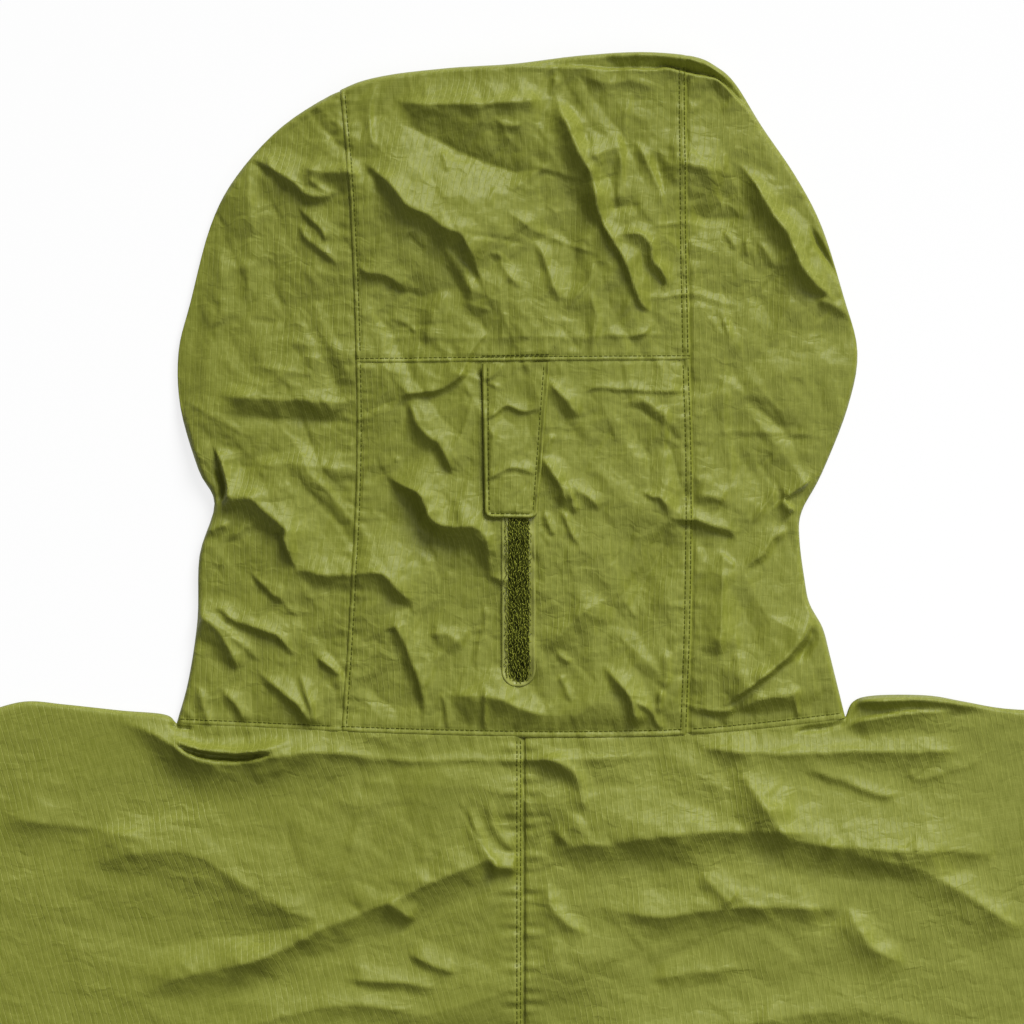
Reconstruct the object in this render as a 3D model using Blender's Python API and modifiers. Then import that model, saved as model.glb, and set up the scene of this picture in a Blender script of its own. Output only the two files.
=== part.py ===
"""A ripstop mountain parka with a three-panel hood, laid flat on its front.

The wearer's left is at -X, the hood points to +Y and the hem to -Y. The fronts lie on z = 0
and the back faces up. Lengths here are millimetres; `up` is the distance above the neck seam
at the centre back. Every panel is a plan outline raised to an upper or a lower sheet, which
meet in a round fold along the garment's edge.
"""

import math

import bmesh
import bpy
import numpy as np
from mathutils import Vector

MM = 0.001
WALL = 1.2                 # thickness of a panel
SEAM_GAP = 0.3             # between two pieces at a seam
CORNER_GAP = 0.8           # more at the hood's lower corners, and
UNDERARM_GAP = 1.2         # at the underarm, where both edges are round
NECK_GAP = 0.7             # between the hood and the body, whose seam curves
BODY_LENGTH = 720.0        # neck seam to hem, down the centre back
HOOD_TOP = 342.0           # neck seam to the highest point of the hood
NECK_Y = (BODY_LENGTH - HOOD_TOP - WALL / 2) / 2   # puts the middle of the whole length at the origin
FOLD_REACH = 5.0           # how far in from an edge the round fold begins
FOLD_LIFT = 2.4            # height of the middle of a fold
HOOD_FOLD_LIFT = 3.6
UPRIGHT = 1.0              # height of the upright strip on each side of a seam in a fold
LEAST_HEIGHT = 5.0         # of the upper sheet, over flat cloth

UNDERARM_SHARE = 0.64      # of the panel's rows, from the hem up
CENTRE_GAP = 6.0           # each front edge to the centre front
CHIN_TOP = 12.0            # where the face opening starts

# The hood's edge, from its left lower corner over the crown to its right lower corner.
HOOD_EDGE = (  # across, up
    (-172, 6), (-166, 28), (-163, 60), (-161, 90), (-153, 116), (-161, 133), (-170, 164),
    (-171, 192), (-165, 217), (-155, 255), (-142, 280), (-119, 305), (-90, 323), (-69, 330),
    (-36, 334), (-4, 336), (28, 340), (60, 342), (86, 340), (98, 335), (108, 326), (121, 305),
    (138, 280), (151, 255), (162, 220), (169, 192), (164, 164), (151, 131), (141, 112),
    (141, 98), (145, 75), (154, 42), (158, 28), (163, 9),
)
LEFT_SEAM = ((-89.5, 0), (-85, 66), (-82, 130), (-82, 188), (-85, 266), (-90, 323))   # across, up
RIGHT_SEAM = ((84, 0), (86, 66), (86.5, 130), (85, 188), (83.5, 266), (83, 340))      # across, up
CROSS_SEAM = ((-82, 186.5), (85, 188.5))                                              # across, up
NECK_SEAM = {
    "left": ((0, 0), (-45, 1), (-89.5, 2.5), (-135, 4.5), (-172, 6)),                 # across, up
    "right": ((0, 0), (42, 0), (84, 1), (124, 4.5), (163, 9)),
}
FRONT_NECK = ((6, -80), (60, -64), (112, -26))   # across, up; from the zip to the hood's corner
FRONT_NECK_LENGTH = 190.0
FACE_EDGE = ((20, 22), (60, 60), (98, 120), (110, 180), (104, 235))   # chin to brim corner
BRIM_UP = 276.0

SHOULDER = {
    "left": ((-172, 6), (-178, 10.5), (-200, 12.5), (-228, 15.5), (-248, 17), (-268, 12)),
    "right": ((163, 9), (167, 17), (178, 20), (204, 20), (222, 17), (242, 13.5), (268, 12)),
}
ARMHOLE = ((268, 12), (260, -70), (264, -150), (280, -212), (300, -245))   # tip to underarm
SIDE = ((300, -245), (298, -420), (304, -720))                             # underarm to hem
SLEEVE_TOP = ((268, 12), (308, -6), (360, -50), (450, -162), (560, -312), (660, -465))
SLEEVE_UNDER = ((300, -245), (334, -282), (404, -362), (484, -452), (564, -545))

# Height of the upper sheet down the middle of the garment.
CREST = (  # up, height
    (-720, 5.5), (-260, 6.5), (-90, 9), (0, 12.5), (70, 15), (150, 18), (240, 20), (310, 16),
    (342, 12),
)
CREST_REACH = 232.0        # half width over which the crest falls to flat cloth

# The largest folds: a positive rise is a ridge and a negative one a trough.
FOLDS = (  # from across, up, to across, up, rise, half width
    (-70, 278, -38, 246, -4.0, 14), (-38, 246, -14, 213, -4.0, 14),
    (15, 326, 34, 286, 4.5, 14), (34, 286, 50, 240, 4.0, 14),
    (106, 288, 134, 252, 3.5, 12), (134, 252, 158, 212, 3.0, 12),
    (-134, 288, -88, 266, -3.0, 12),
    (-158, 96, -110, 80, -4.0, 12), (-110, 80, -62, 77, -3.0, 12),
    (-50, 110, -22, 64, -4.0, 13), (-22, 64, -20, 24, -3.0, 12),
    (100, 16, 130, 32, 3.5, 12), (130, 32, 144, 58, 3.0, 10),
    (70, 120, 110, 96, -3.0, 12),
    (-206, 9, -150, -12, 4.5, 13), (-150, -12, -78, -11, 4.0, 12),
    (-186, -132, -94, -98, 5.0, 20), (-94, -98, -18, -62, 5.0, 20),
    (30, -55, 92, -49, 3.0, 16),
    (110, -14, 128, -49, -2.5, 16), (128, -49, 218, -57, -2.5, 16),
    (66, -91, 166, -86, 3.5, 18), (178, -64, 256, -98, 4.0, 16),
    (-220, -262, -70, -336, 5.0, 24), (62, -318, 214, -246, 5.0, 24),
    (-160, -470, -48, -590, 4.0, 26), (84, -446, 190, -612, 4.0, 26),
    (318, -60, 352, -196, 4.5, 20), (432, -206, 402, -290, 4.0, 16), (520, -300, 470, -380, 3.5, 16),
    (-318, -60, -352, -196, 4.5, 20), (-432, -206, -402, -290, 4.0, 16), (-520, -300, -470, -380, 3.5, 16),
)

# The hood's adjuster: a tapered tab sewn into the cross seam over a strip of loop tape.
TAB_CORNERS = ((-18.5, 186), (14.5, 187.2), (7.5, 110), (-17.0, 110.4))   # across, up
TAB_WALL = 1.4
TAB_ROOT_LIFT = 0.3
TAB_END_LIFT = 2.9
LOOP_WIDTH = 16.5
LOOP_TOP = 160.0
LOOP_END = 26.0
TAPE_WALL = 1.0
HOOK_WIDTH = 14.0
HOOK_SPAN = (113.0, 143.0)                                                # up

# The zip, closed, with its slider at the chin.
TAPE_WIDTH = 13.0
ZIP_OFFSET = WALL / 2 + 0.6 + TAPE_WALL / 2   # from a front's middle to its tape's
CHAIN_WIDTH = 6.0
CHAIN_WALL = 2.2
SLIDER_UP = 0.0
SLIDER_SIZE = (10.0, 12.0, 4.6)
SLIDER_PLATE = 1.0
ZIP_RISE = 3.7             # the cloth rises over the slider and its pull
ZIP_RISE_REACH = (34.0, 48.0)
ARCH_SIZE = (1.6, 7.0, 0.6)   # the slider's arch, which holds the pull's crossbar
PIN_HEIGHT = 1.4           # axis of the crossbar above the surface
CROSSBAR = 1.0
PULL_SIZE = (6.4, 26.0, 1.4)
PULL_SLOT = (2.8, 6.0)
PULL_FLOOR = 0.2

COLOURS = {  # base colour, roughness, metallic
    "shell": ((0.20, 0.215, 0.045, 1), 0.5, 0.0),
    "loop": ((0.055, 0.07, 0.01, 1), 0.95, 0.0),
    "zip_tape": ((0.12, 0.13, 0.03, 1), 0.8, 0.0),
    "zip_metal": ((0.10, 0.10, 0.09, 1), 0.35, 0.9),
}

for scene_object in list(bpy.data.objects):
    bpy.data.objects.remove(scene_object)
parka = bpy.data.collections.new("mountain_parka")
cutters = bpy.data.collections.new("cutters")
bpy.context.scene.collection.children.link(parka)
bpy.context.scene.collection.children.link(cutters)


# ---------------------------------------------------------------- lines and outlines

def smooth_step(share):
    share = np.clip(share, 0.0, 1.0)
    return share * share * (3 - 2 * share)


def spline(points, per_span=8):
    """A smooth line through the points, as an array of (across, up)."""
    points = np.array(points, float)
    padded = np.vstack([2 * points[0] - points[1], points, 2 * points[-1] - points[-2]])
    steps = np.linspace(0, 1, per_span, endpoint=False)[:, None]
    spans = []
    for a, b, c, d in zip(padded, padded[1:], padded[2:], padded[3:]):
        spans.append(0.5 * (2 * b + (c - a) * steps + (2 * a - 5 * b + 4 * c - d) * steps ** 2
                            + (3 * b - a - 3 * c + d) * steps ** 3))
    return np.vstack(spans + [points[-1:]])


def along(line, shares):
    """Points at the given shares of a line's length."""
    lengths = np.concatenate([[0], np.cumsum(np.linalg.norm(np.diff(line, axis=0), axis=1))])
    places = np.asarray(shares) * lengths[-1]
    return np.column_stack([np.interp(places, lengths, line[:, axis]) for axis in (0, 1)])


def shifted(line, across=0.0, up=0.0):
    return line + np.array([across, up])


def mirrored(points):
    return tuple((-across, up) for across, up in points)


def distance(places, lines):
    """Shortest distance in plan from each place to a set of lines."""
    nearest = np.full(len(places), 1e9)
    for line in lines:
        for start, end in zip(line, line[1:]):
            span = end - start
            share = np.clip(((places - start) @ span) / max(span @ span, 1e-9), 0, 1)
            gap = np.linalg.norm(places - start - share[:, None] * span, axis=1)
            nearest = np.minimum(nearest, gap)
    return nearest


def patch(bottom, top, inner, outer, across_shares, up_shares, top_shares=None, outer_shares=None):
    """Plan grid between four boundary lines, rows running from inner to outer."""
    low = along(bottom, across_shares)
    high = along(top, across_shares if top_shares is None else top_shares)
    near = along(inner, up_shares)
    far = along(outer, up_shares if outer_shares is None else outer_shares)
    u = np.asarray(across_shares)[None, :, None]
    v = np.asarray(up_shares)[:, None, None]
    corners = ((1 - u) * (1 - v) * low[0] + u * (1 - v) * low[-1]
               + (1 - u) * v * high[0] + u * v * high[-1])
    return (1 - v) * low[None] + v * high[None] + (1 - u) * near[:, None] + u * far[:, None] - corners


def line_length(line):
    return float(np.sum(np.linalg.norm(np.diff(line, axis=0), axis=1)))


def shares(count):
    return np.linspace(0, 1, count + 1)


def shares_to_fold(count, width):
    """Shares that crowd towards the fold at 1, so that it comes out round."""
    turn = np.array([1.0, 0.45, 0.1]) * FOLD_REACH / width
    flat = np.linspace(0, 1 - turn[0], count)
    return np.concatenate([flat, 1 - turn[1:], [1.0]])


hood_edge = spline(HOOD_EDGE, 5)
left_seam, right_seam = spline(LEFT_SEAM), spline(RIGHT_SEAM)
crown_start = int(np.argmin(np.linalg.norm(hood_edge - left_seam[-1], axis=1)))
crown_end = int(np.argmin(np.linalg.norm(hood_edge - right_seam[-1], axis=1)))
hood_lines = [hood_edge]
body_lines = []
for side_name, sign in (("left", -1), ("right", 1)):
    flip = mirrored if sign < 0 else tuple
    body_lines.append(np.vstack([spline(SHOULDER[side_name]), spline(flip(SLEEVE_TOP))]))
    body_lines.append(np.vstack([spline(flip(SLEEVE_UNDER))[::-1], spline(flip(SIDE))]))


# ---------------------------------------------------------------- the two sheets

def fold_rise(places):
    total = np.zeros(len(places))
    for x0, up0, x1, up1, rise, half_width in FOLDS:
        start, end = np.array([x0, up0], float), np.array([x1, up1], float)
        gap = distance(places, [np.array([start, end])])
        total += rise * np.exp(-(gap / half_width) ** 2 * 1.6)
    return total


def crest_height(places):
    rows = np.array(CREST, float)
    middle = np.interp(places[:, 1], rows[:, 0], rows[:, 1])
    fall = 1 - smooth_step(np.abs(places[:, 0]) / CREST_REACH)
    height = LEAST_HEIGHT + (middle - LEAST_HEIGHT) * fall + fold_rise(places)
    return np.maximum(height, LEAST_HEIGHT)


def fold_lift(places):
    share = smooth_step((places[:, 1] - 6) / 40)
    inside = np.abs(places[:, 0]) < 176
    return FOLD_LIFT + (HOOD_FOLD_LIFT - FOLD_LIFT) * share * inside


def edge_share(places, edge_lines):
    """0 on the garment's edge, 1 where the sheets lie flat, along a quarter round."""
    near = np.clip(distance(places, edge_lines) / FOLD_REACH, 0, 1)
    return np.sqrt(np.clip(1 - (1 - near) ** 2, 0, 1))


def zip_rise(places):
    reach_across, reach_up = ZIP_RISE_REACH
    across = smooth_step(1 - (np.abs(places[:, 0]) - CENTRE_GAP) / (reach_across - CENTRE_GAP))
    lengthwise = smooth_step(1 - (np.abs(places[:, 1] - SLIDER_UP) - 12) / (reach_up - 12))
    return ZIP_RISE * across * lengthwise


def upper_sheet(places, edge_lines):
    lift = fold_lift(places)
    return lift + (crest_height(places) - WALL / 2 - lift) * edge_share(places, edge_lines)


def lower_sheet(places, edge_lines):
    lift = fold_lift(places)
    return lift - (lift - WALL / 2) * edge_share(places, edge_lines) + zip_rise(places)


def raised(plan, sheet, edge_lines, offset=0.0):
    flat = plan.reshape(-1, 2)
    height = sheet(flat, edge_lines) + offset
    return np.column_stack([flat, height]).reshape(plan.shape[0], plan.shape[1], 3)


# ---------------------------------------------------------------- making solids

def material(name):
    if name in bpy.data.materials:
        return bpy.data.materials[name]
    made = bpy.data.materials.new(name)
    made.use_nodes = True
    colour, roughness, metallic = COLOURS[name]
    shader = made.node_tree.nodes["Principled BSDF"]
    shader.inputs["Base Color"].default_value = colour
    shader.inputs["Roughness"].default_value = roughness
    shader.inputs["Metallic"].default_value = metallic
    return made


def place(name, mesh, slot, collection=parka):
    piece = bpy.data.objects.new(name, mesh)
    piece.data.materials.append(material(slot))
    collection.objects.link(piece)
    return piece


def cloth(name, rows, slot="shell", wall=WALL, closed=False):
    """A panel: a grid of (across, up, height) with Solidify; closed joins its row ends."""
    count_up, count_across = rows.shape[:2]
    build = bmesh.new()
    points = [[build.verts.new((x * MM, (NECK_Y + up) * MM, z * MM)) for x, up, z in row]
              for row in rows]
    for low, high in zip(points, points[1:]):
        for index in range(count_across if closed else count_across - 1):
            after = (index + 1) % count_across
            build.faces.new((low[index], low[after], high[after], high[index]))
    bmesh.ops.recalc_face_normals(build, faces=build.faces)
    mesh = bpy.data.meshes.new(name)
    build.to_mesh(mesh)
    build.free()
    mesh.shade_smooth()
    piece = place(name, mesh, slot)
    shell = piece.modifiers.new("wall", "SOLIDIFY")
    shell.thickness = wall * MM
    shell.offset = 0
    return piece


def joined_sheets(upper_plan, lower_plan, edge_lines):
    """A panel that turns round the garment's edge: upper rows, then lower rows."""
    upper = raised(upper_plan, upper_sheet, edge_lines)
    lower = raised(lower_plan, lower_sheet, edge_lines)
    return np.concatenate([upper, lower[:, ::-1][:, 1:]], axis=1)


def stand_at_fold(edge, before, direction):
    """Turns the last strip of a panel upright where it ends on the garment's edge."""
    on_edge = distance(edge[:, :2], body_lines) < 0.6
    lift = fold_lift(edge[:, :2])
    before[on_edge, :2] += 0.9 * (edge - before)[on_edge, :2]
    before[on_edge, 2] = (lift + direction * UPRIGHT)[on_edge]
    edge[on_edge, 2] = (lift + direction * SEAM_GAP * 0.6)[on_edge]


# ---------------------------------------------------------------- the hood

def long_seam(line, side):
    """The part of a long seam from the neck to just short of the crown's fold."""
    return shifted(along(line, np.linspace(0, 0.985, 30)), across=side * SEAM_GAP / 2)


def hood_side(name, sign):
    flip = mirrored if sign < 0 else tuple
    whole_seam = left_seam if sign < 0 else right_seam
    seam = long_seam(whole_seam, sign)
    rim = hood_edge[:crown_start + 1] if sign < 0 else hood_edge[crown_end:][::-1]
    neck = spline(NECK_SEAM["left" if sign < 0 else "right"])
    neck = shifted(neck[np.abs(neck[:, 0]) >= abs(seam[0][0])], up=NECK_GAP / 2)
    neck = np.vstack([[seam[0][0], neck[0][1]], neck])
    neck[:, 1] += CORNER_GAP * np.abs(neck[:, 0] / neck[-1, 0]) ** 8
    rim_end = whole_seam[-1] + np.array([sign * SEAM_GAP / 2, 0])
    rim = np.vstack([neck[-1:], rim[1:-1], rim_end[None]])
    seam[0] = neck[0]
    up_shares = shares(20)
    upper = patch(neck, np.vstack([seam[-1:], rim[-1:]]), seam, rim,
                  shares_to_fold(7, 75), up_shares)
    front_neck = shifted(spline(flip(FRONT_NECK) + (tuple(rim[0]),))[::-1], up=NECK_GAP / 2)
    front_neck[0] = rim[0]
    brim_corner = (rim_end[0] - sign * 1.5, BRIM_UP)
    zip_edge = np.array([front_neck[-1], (sign * CENTRE_GAP, CHIN_TOP)])
    face = np.vstack([zip_edge[:1], spline([zip_edge[1]] + list(flip(FACE_EDGE)) + [brim_corner])])
    under_seam = np.vstack([rim[-1:], face[-1:]])
    lower = patch(front_neck[::-1], under_seam[::-1], face, rim, shares_to_fold(5, FRONT_NECK_LENGTH),
                  up_shares)
    cloth(name, joined_sheets(upper, lower, hood_lines))


def hood_crown():
    left = shifted(left_seam, across=SEAM_GAP / 2)
    right = shifted(right_seam, across=-SEAM_GAP / 2)
    cross = shifted(np.array(CROSS_SEAM, float), up=SEAM_GAP / 2)
    left = np.vstack([cross[:1] + [0.15, 0], left[left[:, 1] > cross[0][1] + 2]])
    right = np.vstack([cross[1:] - [0.15, 0], right[right[:, 1] > cross[1][1] + 2]])
    cross = np.vstack([left[:1], right[:1]])
    fold = hood_edge[crown_start:crown_end + 1].copy()
    fold[0], fold[-1] = left[-1], right[-1]
    across = shares(14)
    upper = patch(left, right, cross, fold, shares_to_fold(9, 140), across)
    brim = np.array([[left[-1][0] + 1.5, BRIM_UP], [right[-1][0] - 1.5, BRIM_UP]])
    under_left = np.vstack([brim[:1], left[-1:]])
    under_right = np.vstack([brim[1:], right[-1:]])
    lower = patch(under_left, under_right, brim, fold, shares_to_fold(3, 55), across)
    cloth("hood_crown", joined_sheets(upper, lower, hood_lines))


def hood_nape():
    left = shifted(left_seam, across=SEAM_GAP / 2)
    right = shifted(right_seam, across=-SEAM_GAP / 2)
    cross = shifted(np.array(CROSS_SEAM, float), up=-SEAM_GAP / 2)
    neck = np.vstack([spline(NECK_SEAM["left"])[::-1], spline(NECK_SEAM["right"])[1:]])
    neck = shifted(neck[(neck[:, 0] > left[0][0]) & (neck[:, 0] < right[0][0])], up=NECK_GAP / 2)
    left = np.vstack([[left[0][0], neck[0][1]], left[(left[:, 1] > 4) & (left[:, 1] < 184)],
                      cross[:1] + [0.15, 0]])
    right = np.vstack([[right[0][0], neck[-1][1]], right[(right[:, 1] > 4) & (right[:, 1] < 184)],
                       cross[1:] - [0.15, 0]])
    neck = np.vstack([left[:1], neck, right[:1]])
    cross = np.vstack([left[-1:], right[-1:]])
    plan = patch(neck, cross, left, right, shares(13), shares(15))
    cloth("hood_nape", raised(plan, upper_sheet, hood_lines))


def hood_adjuster():
    top_left, top_right, end_right, end_left = np.array(TAB_CORNERS, float)
    round_off = shares(7)
    tab = patch(np.vstack([end_left, end_right]), np.vstack([top_left, top_right]),
                np.vstack([end_left, top_left]), np.vstack([end_right, top_right]), shares(4), round_off)
    tab[0, 0] += (2.0, 1.2)
    tab[0, -1] += (-2.0, 1.2)
    rows = raised(tab, upper_sheet, hood_lines, WALL / 2 + TAB_WALL / 2)
    lift = TAB_END_LIFT + (TAB_ROOT_LIFT - TAB_END_LIFT) * smooth_step(round_off * 2.2 - 1.0)
    rows[:, :, 2] += lift[:, None]
    cloth("hood_tab", rows, wall=TAB_WALL)

    half = LOOP_WIDTH / 2
    ups = np.concatenate([LOOP_END + half * (1 - np.cos(shares(3) * math.pi / 2)),
                          np.linspace(LOOP_END + half, LOOP_TOP, 10)[1:]])
    reach = np.sqrt(np.clip(half ** 2 - np.clip(LOOP_END + half - ups, 0, half) ** 2, 4, half ** 2))
    middle = -0.8
    plan = np.array([[(middle + side * width, up) for side in (-1, -0.5, 0, 0.5, 1)]
                     for width, up in zip(reach, ups)])
    cloth("loop_tape", raised(plan, upper_sheet, hood_lines, WALL / 2 + SEAM_GAP + TAPE_WALL / 2),
          "loop", TAPE_WALL)
    hook = np.array([[(middle - 2 + side * HOOK_WIDTH / 2, up) for side in (-1, 0, 1)]
                     for up in np.linspace(*HOOK_SPAN, 4)])
    cloth("tab_hook", raised(hook, upper_sheet, hood_lines, WALL / 2 + 2 * SEAM_GAP + 1.5 * TAPE_WALL),
          "loop", TAPE_WALL)


# ---------------------------------------------------------------- body and sleeves

def armhole_shares():
    """Places along an armhole that the body and the sleeve share, close together at its ends."""
    turn = np.array([0, 0.1, 0.45, 1.0]) * FOLD_REACH / line_length(spline(ARMHOLE))
    return np.concatenate([turn, np.linspace(turn[-1], 1 - turn[-1], 8)[1:-1], 1 - turn[::-1]])


def body_panel(name, sign, side_name, upper):
    flip = mirrored if sign < 0 else tuple
    shoulder = spline(SHOULDER[side_name])
    armhole = shifted(spline(flip(ARMHOLE)), across=-sign * SEAM_GAP / 2)
    side = spline(flip(SIDE))
    if upper:
        neck = shifted(spline(NECK_SEAM[side_name]), up=-NECK_GAP / 2)
        inner_edge = sign * SEAM_GAP / 2
    else:
        neck = spline(flip(FRONT_NECK) + (SHOULDER[side_name][0],))
        neck = shifted(neck, up=-NECK_GAP / 2)
        inner_edge = sign * CENTRE_GAP
    neck[0][0] = inner_edge
    top = np.vstack([neck, shoulder[1:-1], armhole[:1]])
    outer = np.vstack([side[::-1], armhole[::-1][1:]])
    inner = np.array([(inner_edge, -BODY_LENGTH), neck[0]])
    hem = np.array([inner[0], outer[0]])
    side_share = line_length(side) / line_length(outer)
    side_rows, armhole_rows = shares(8)[:-1], 1 - armhole_shares()[::-1]
    rows_up = np.concatenate([side_rows * UNDERARM_SHARE,
                              UNDERARM_SHARE + armhole_rows * (1 - UNDERARM_SHARE)])
    outer_rows = np.concatenate([side_rows * side_share, side_share + armhole_rows * (1 - side_share)])
    neck_share = line_length(neck) / line_length(top)
    shoulder_turn = 1 - np.array([0.45, 0.1, 0]) * FOLD_REACH / line_length(shoulder)
    top_rows = np.concatenate([neck_share * shares_to_fold(5, FRONT_NECK_LENGTH), neck_share + (1 - neck_share)
                               * np.concatenate([shares(4)[1:-1], shoulder_turn])])
    plan = patch(hem, top, inner, outer, shares_to_fold(11, 300), rows_up, top_rows, outer_rows)
    sheet = upper_sheet if upper else lower_sheet
    rows = raised(plan, sheet, body_lines)
    direction = 1 if upper else -1
    stand_at_fold(rows[:, -1], rows[:, -2], direction)
    stand_at_fold(rows[-1], rows[-2], direction)
    cloth(name, rows)


def sleeve(name, sign):
    flip = mirrored if sign < 0 else tuple
    armhole = spline(flip(ARMHOLE))
    toward_underarm = np.linspace(0, 1, len(armhole)) ** 8
    armhole[:, 0] += sign * (SEAM_GAP / 2 + UNDERARM_GAP * toward_underarm)
    top, under = spline(flip(SLEEVE_TOP)), spline(flip(SLEEVE_UNDER))
    top[0], under[0] = armhole[0], armhole[-1]
    cuff = np.vstack([top[-1:], under[-1:]])
    plan = patch(armhole, cuff, top, under, armhole_shares(), shares(12))
    upper = raised(plan, upper_sheet, body_lines)
    lower = raised(plan, lower_sheet, body_lines)
    cloth(name, np.concatenate([upper, lower[:, ::-1][:, 1:-1]], axis=1), closed=True)


# ---------------------------------------------------------------- the zip

def box(name, size, centre, slot="zip_metal", collection=parka):
    bpy.ops.mesh.primitive_cube_add(size=1)
    made = bpy.context.object
    made.name = made.data.name = name
    for vertex in made.data.vertices:
        vertex.co = Vector(centre) * MM + Vector([vertex.co[axis] * size[axis] * MM for axis in range(3)])
    for owner in list(made.users_collection):
        owner.objects.unlink(made)
    collection.objects.link(made)
    made.data.materials.append(material(slot))
    return made


def combine(piece, other, operation):
    step = piece.modifiers.new(operation.lower(), "BOOLEAN")
    step.operation = operation
    step.object = other
    other.hide_render = True
    other.display_type = "WIRE"


def zip_height(up):
    """Middle of the chain at each place along it."""
    edge = np.array([(CENTRE_GAP, each) for each in np.atleast_1d(up)])
    return lower_sheet(edge, [np.array([(1e4, 0), (1e4, 1)])]) + ZIP_OFFSET


def zip_pieces():
    stations = np.concatenate([np.linspace(-BODY_LENGTH + 3, -52, 8), np.linspace(-46, CHIN_TOP + 4, 12)])
    far = [np.array([(1e4, 0), (1e4, 1)])]
    for name, sign in (("zip_tape_left", -1), ("zip_tape_right", 1)):
        reach = np.array([CHAIN_WIDTH / 2 + SEAM_GAP, CENTRE_GAP, CHAIN_WIDTH / 2 + TAPE_WIDTH])
        plan = np.array([[(sign * across, up) for across in reach] for up in stations])
        rows = raised(plan, lower_sheet, far, ZIP_OFFSET)
        cloth(name, rows, "zip_tape", TAPE_WALL)
    stations = stations[stations < SLIDER_UP + 1]
    heights = zip_height(stations)
    half = CHAIN_WIDTH / 2
    rows = np.array([[(-half, up, z), (half, up, z)] for up, z in zip(stations, heights)])
    cloth("zip_chain", rows, "zip_tape", CHAIN_WALL)

    middle = float(zip_height(SLIDER_UP)[0])
    slider_y = NECK_Y + SLIDER_UP
    width, length, height = SLIDER_SIZE
    slider = box("zip_slider", (width, length, SLIDER_PLATE),
                 (0, slider_y, middle - height / 2 + SLIDER_PLATE / 2))
    plate = box("inner_plate", (width, length, SLIDER_PLATE),
                (0, slider_y, middle + height / 2 - SLIDER_PLATE / 2), collection=cutters)
    post = box("post", (2.4, 3.0, height - 0.4), (0, slider_y + length / 2 - 1.8, middle),
               collection=cutters)
    combine(slider, plate, "UNION")
    combine(slider, post, "UNION")
    plate_bottom = middle - height / 2
    arch_width, arch_length, arch_wall = ARCH_SIZE
    arch = box("arch", ARCH_SIZE, (0, slider_y, arch_wall / 2), collection=cutters)
    combine(slider, arch, "UNION")
    for name, side in (("leg_back", -1), ("leg_front", 1)):
        leg = box(name, (arch_width, arch_wall, plate_bottom + SLIDER_PLATE / 2),
                  (0, slider_y + side * (arch_length - arch_wall) / 2,
                   (plate_bottom + SLIDER_PLATE / 2) / 2), collection=cutters)
        combine(slider, leg, "UNION")

    # The pull: a plate with a slot round the arch, closed by a crossbar that turns inside it.
    pull_length = PULL_SIZE[1]
    pull_end = slider_y + CROSSBAR / 2
    pull = box("zip_pull", PULL_SIZE, (0, pull_end - pull_length / 2, PULL_FLOOR + PULL_SIZE[2] / 2))
    slot = box("slot", (PULL_SLOT[0], PULL_SLOT[1], 3 * PULL_SIZE[2]),
               (0, pull_end + 0.1 - PULL_SLOT[1] / 2, PULL_FLOOR), collection=cutters)
    crossbar = box("crossbar", (PULL_SIZE[0], CROSSBAR, CROSSBAR), (0, slider_y, PIN_HEIGHT),
                   collection=cutters)
    combine(pull, slot, "DIFFERENCE")
    combine(pull, crossbar, "UNION")


hood_side("hood_side_left", -1)
hood_side("hood_side_right", 1)
hood_crown()
hood_nape()
hood_adjuster()
body_panel("back_left", -1, "left", True)
body_panel("back_right", 1, "right", True)
body_panel("front_left", -1, "left", False)
body_panel("front_right", 1, "right", False)
sleeve("sleeve_left", -1)
sleeve("sleeve_right", 1)
zip_pieces()
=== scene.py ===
import math

import bpy
import numpy as np
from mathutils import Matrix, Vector


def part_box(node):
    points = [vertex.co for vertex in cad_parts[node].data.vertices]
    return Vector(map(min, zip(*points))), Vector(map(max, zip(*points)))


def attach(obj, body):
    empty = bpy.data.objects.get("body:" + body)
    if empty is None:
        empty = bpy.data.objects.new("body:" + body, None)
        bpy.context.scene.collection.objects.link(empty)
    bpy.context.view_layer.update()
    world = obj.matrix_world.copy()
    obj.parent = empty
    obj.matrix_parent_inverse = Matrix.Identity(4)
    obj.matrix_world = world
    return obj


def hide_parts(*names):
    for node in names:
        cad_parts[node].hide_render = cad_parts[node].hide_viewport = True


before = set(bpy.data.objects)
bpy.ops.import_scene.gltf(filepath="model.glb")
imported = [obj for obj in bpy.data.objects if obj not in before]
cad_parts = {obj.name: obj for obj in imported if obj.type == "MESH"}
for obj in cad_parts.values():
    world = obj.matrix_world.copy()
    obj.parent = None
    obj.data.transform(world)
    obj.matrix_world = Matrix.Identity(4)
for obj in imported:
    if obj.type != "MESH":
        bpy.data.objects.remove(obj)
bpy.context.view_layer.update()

MM = 0.001


# ------------------------------------------------------------------------------------------
# The hood. Four panels of crinkled ripstop nylon: a crown, a nape and two sides, laid flat.
# The crown laps over the nape and both lap over the sides, with their edges turned under and
# topstitched. Its places are in millimetres: across from the centre back, up from the neck seam.

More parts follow.
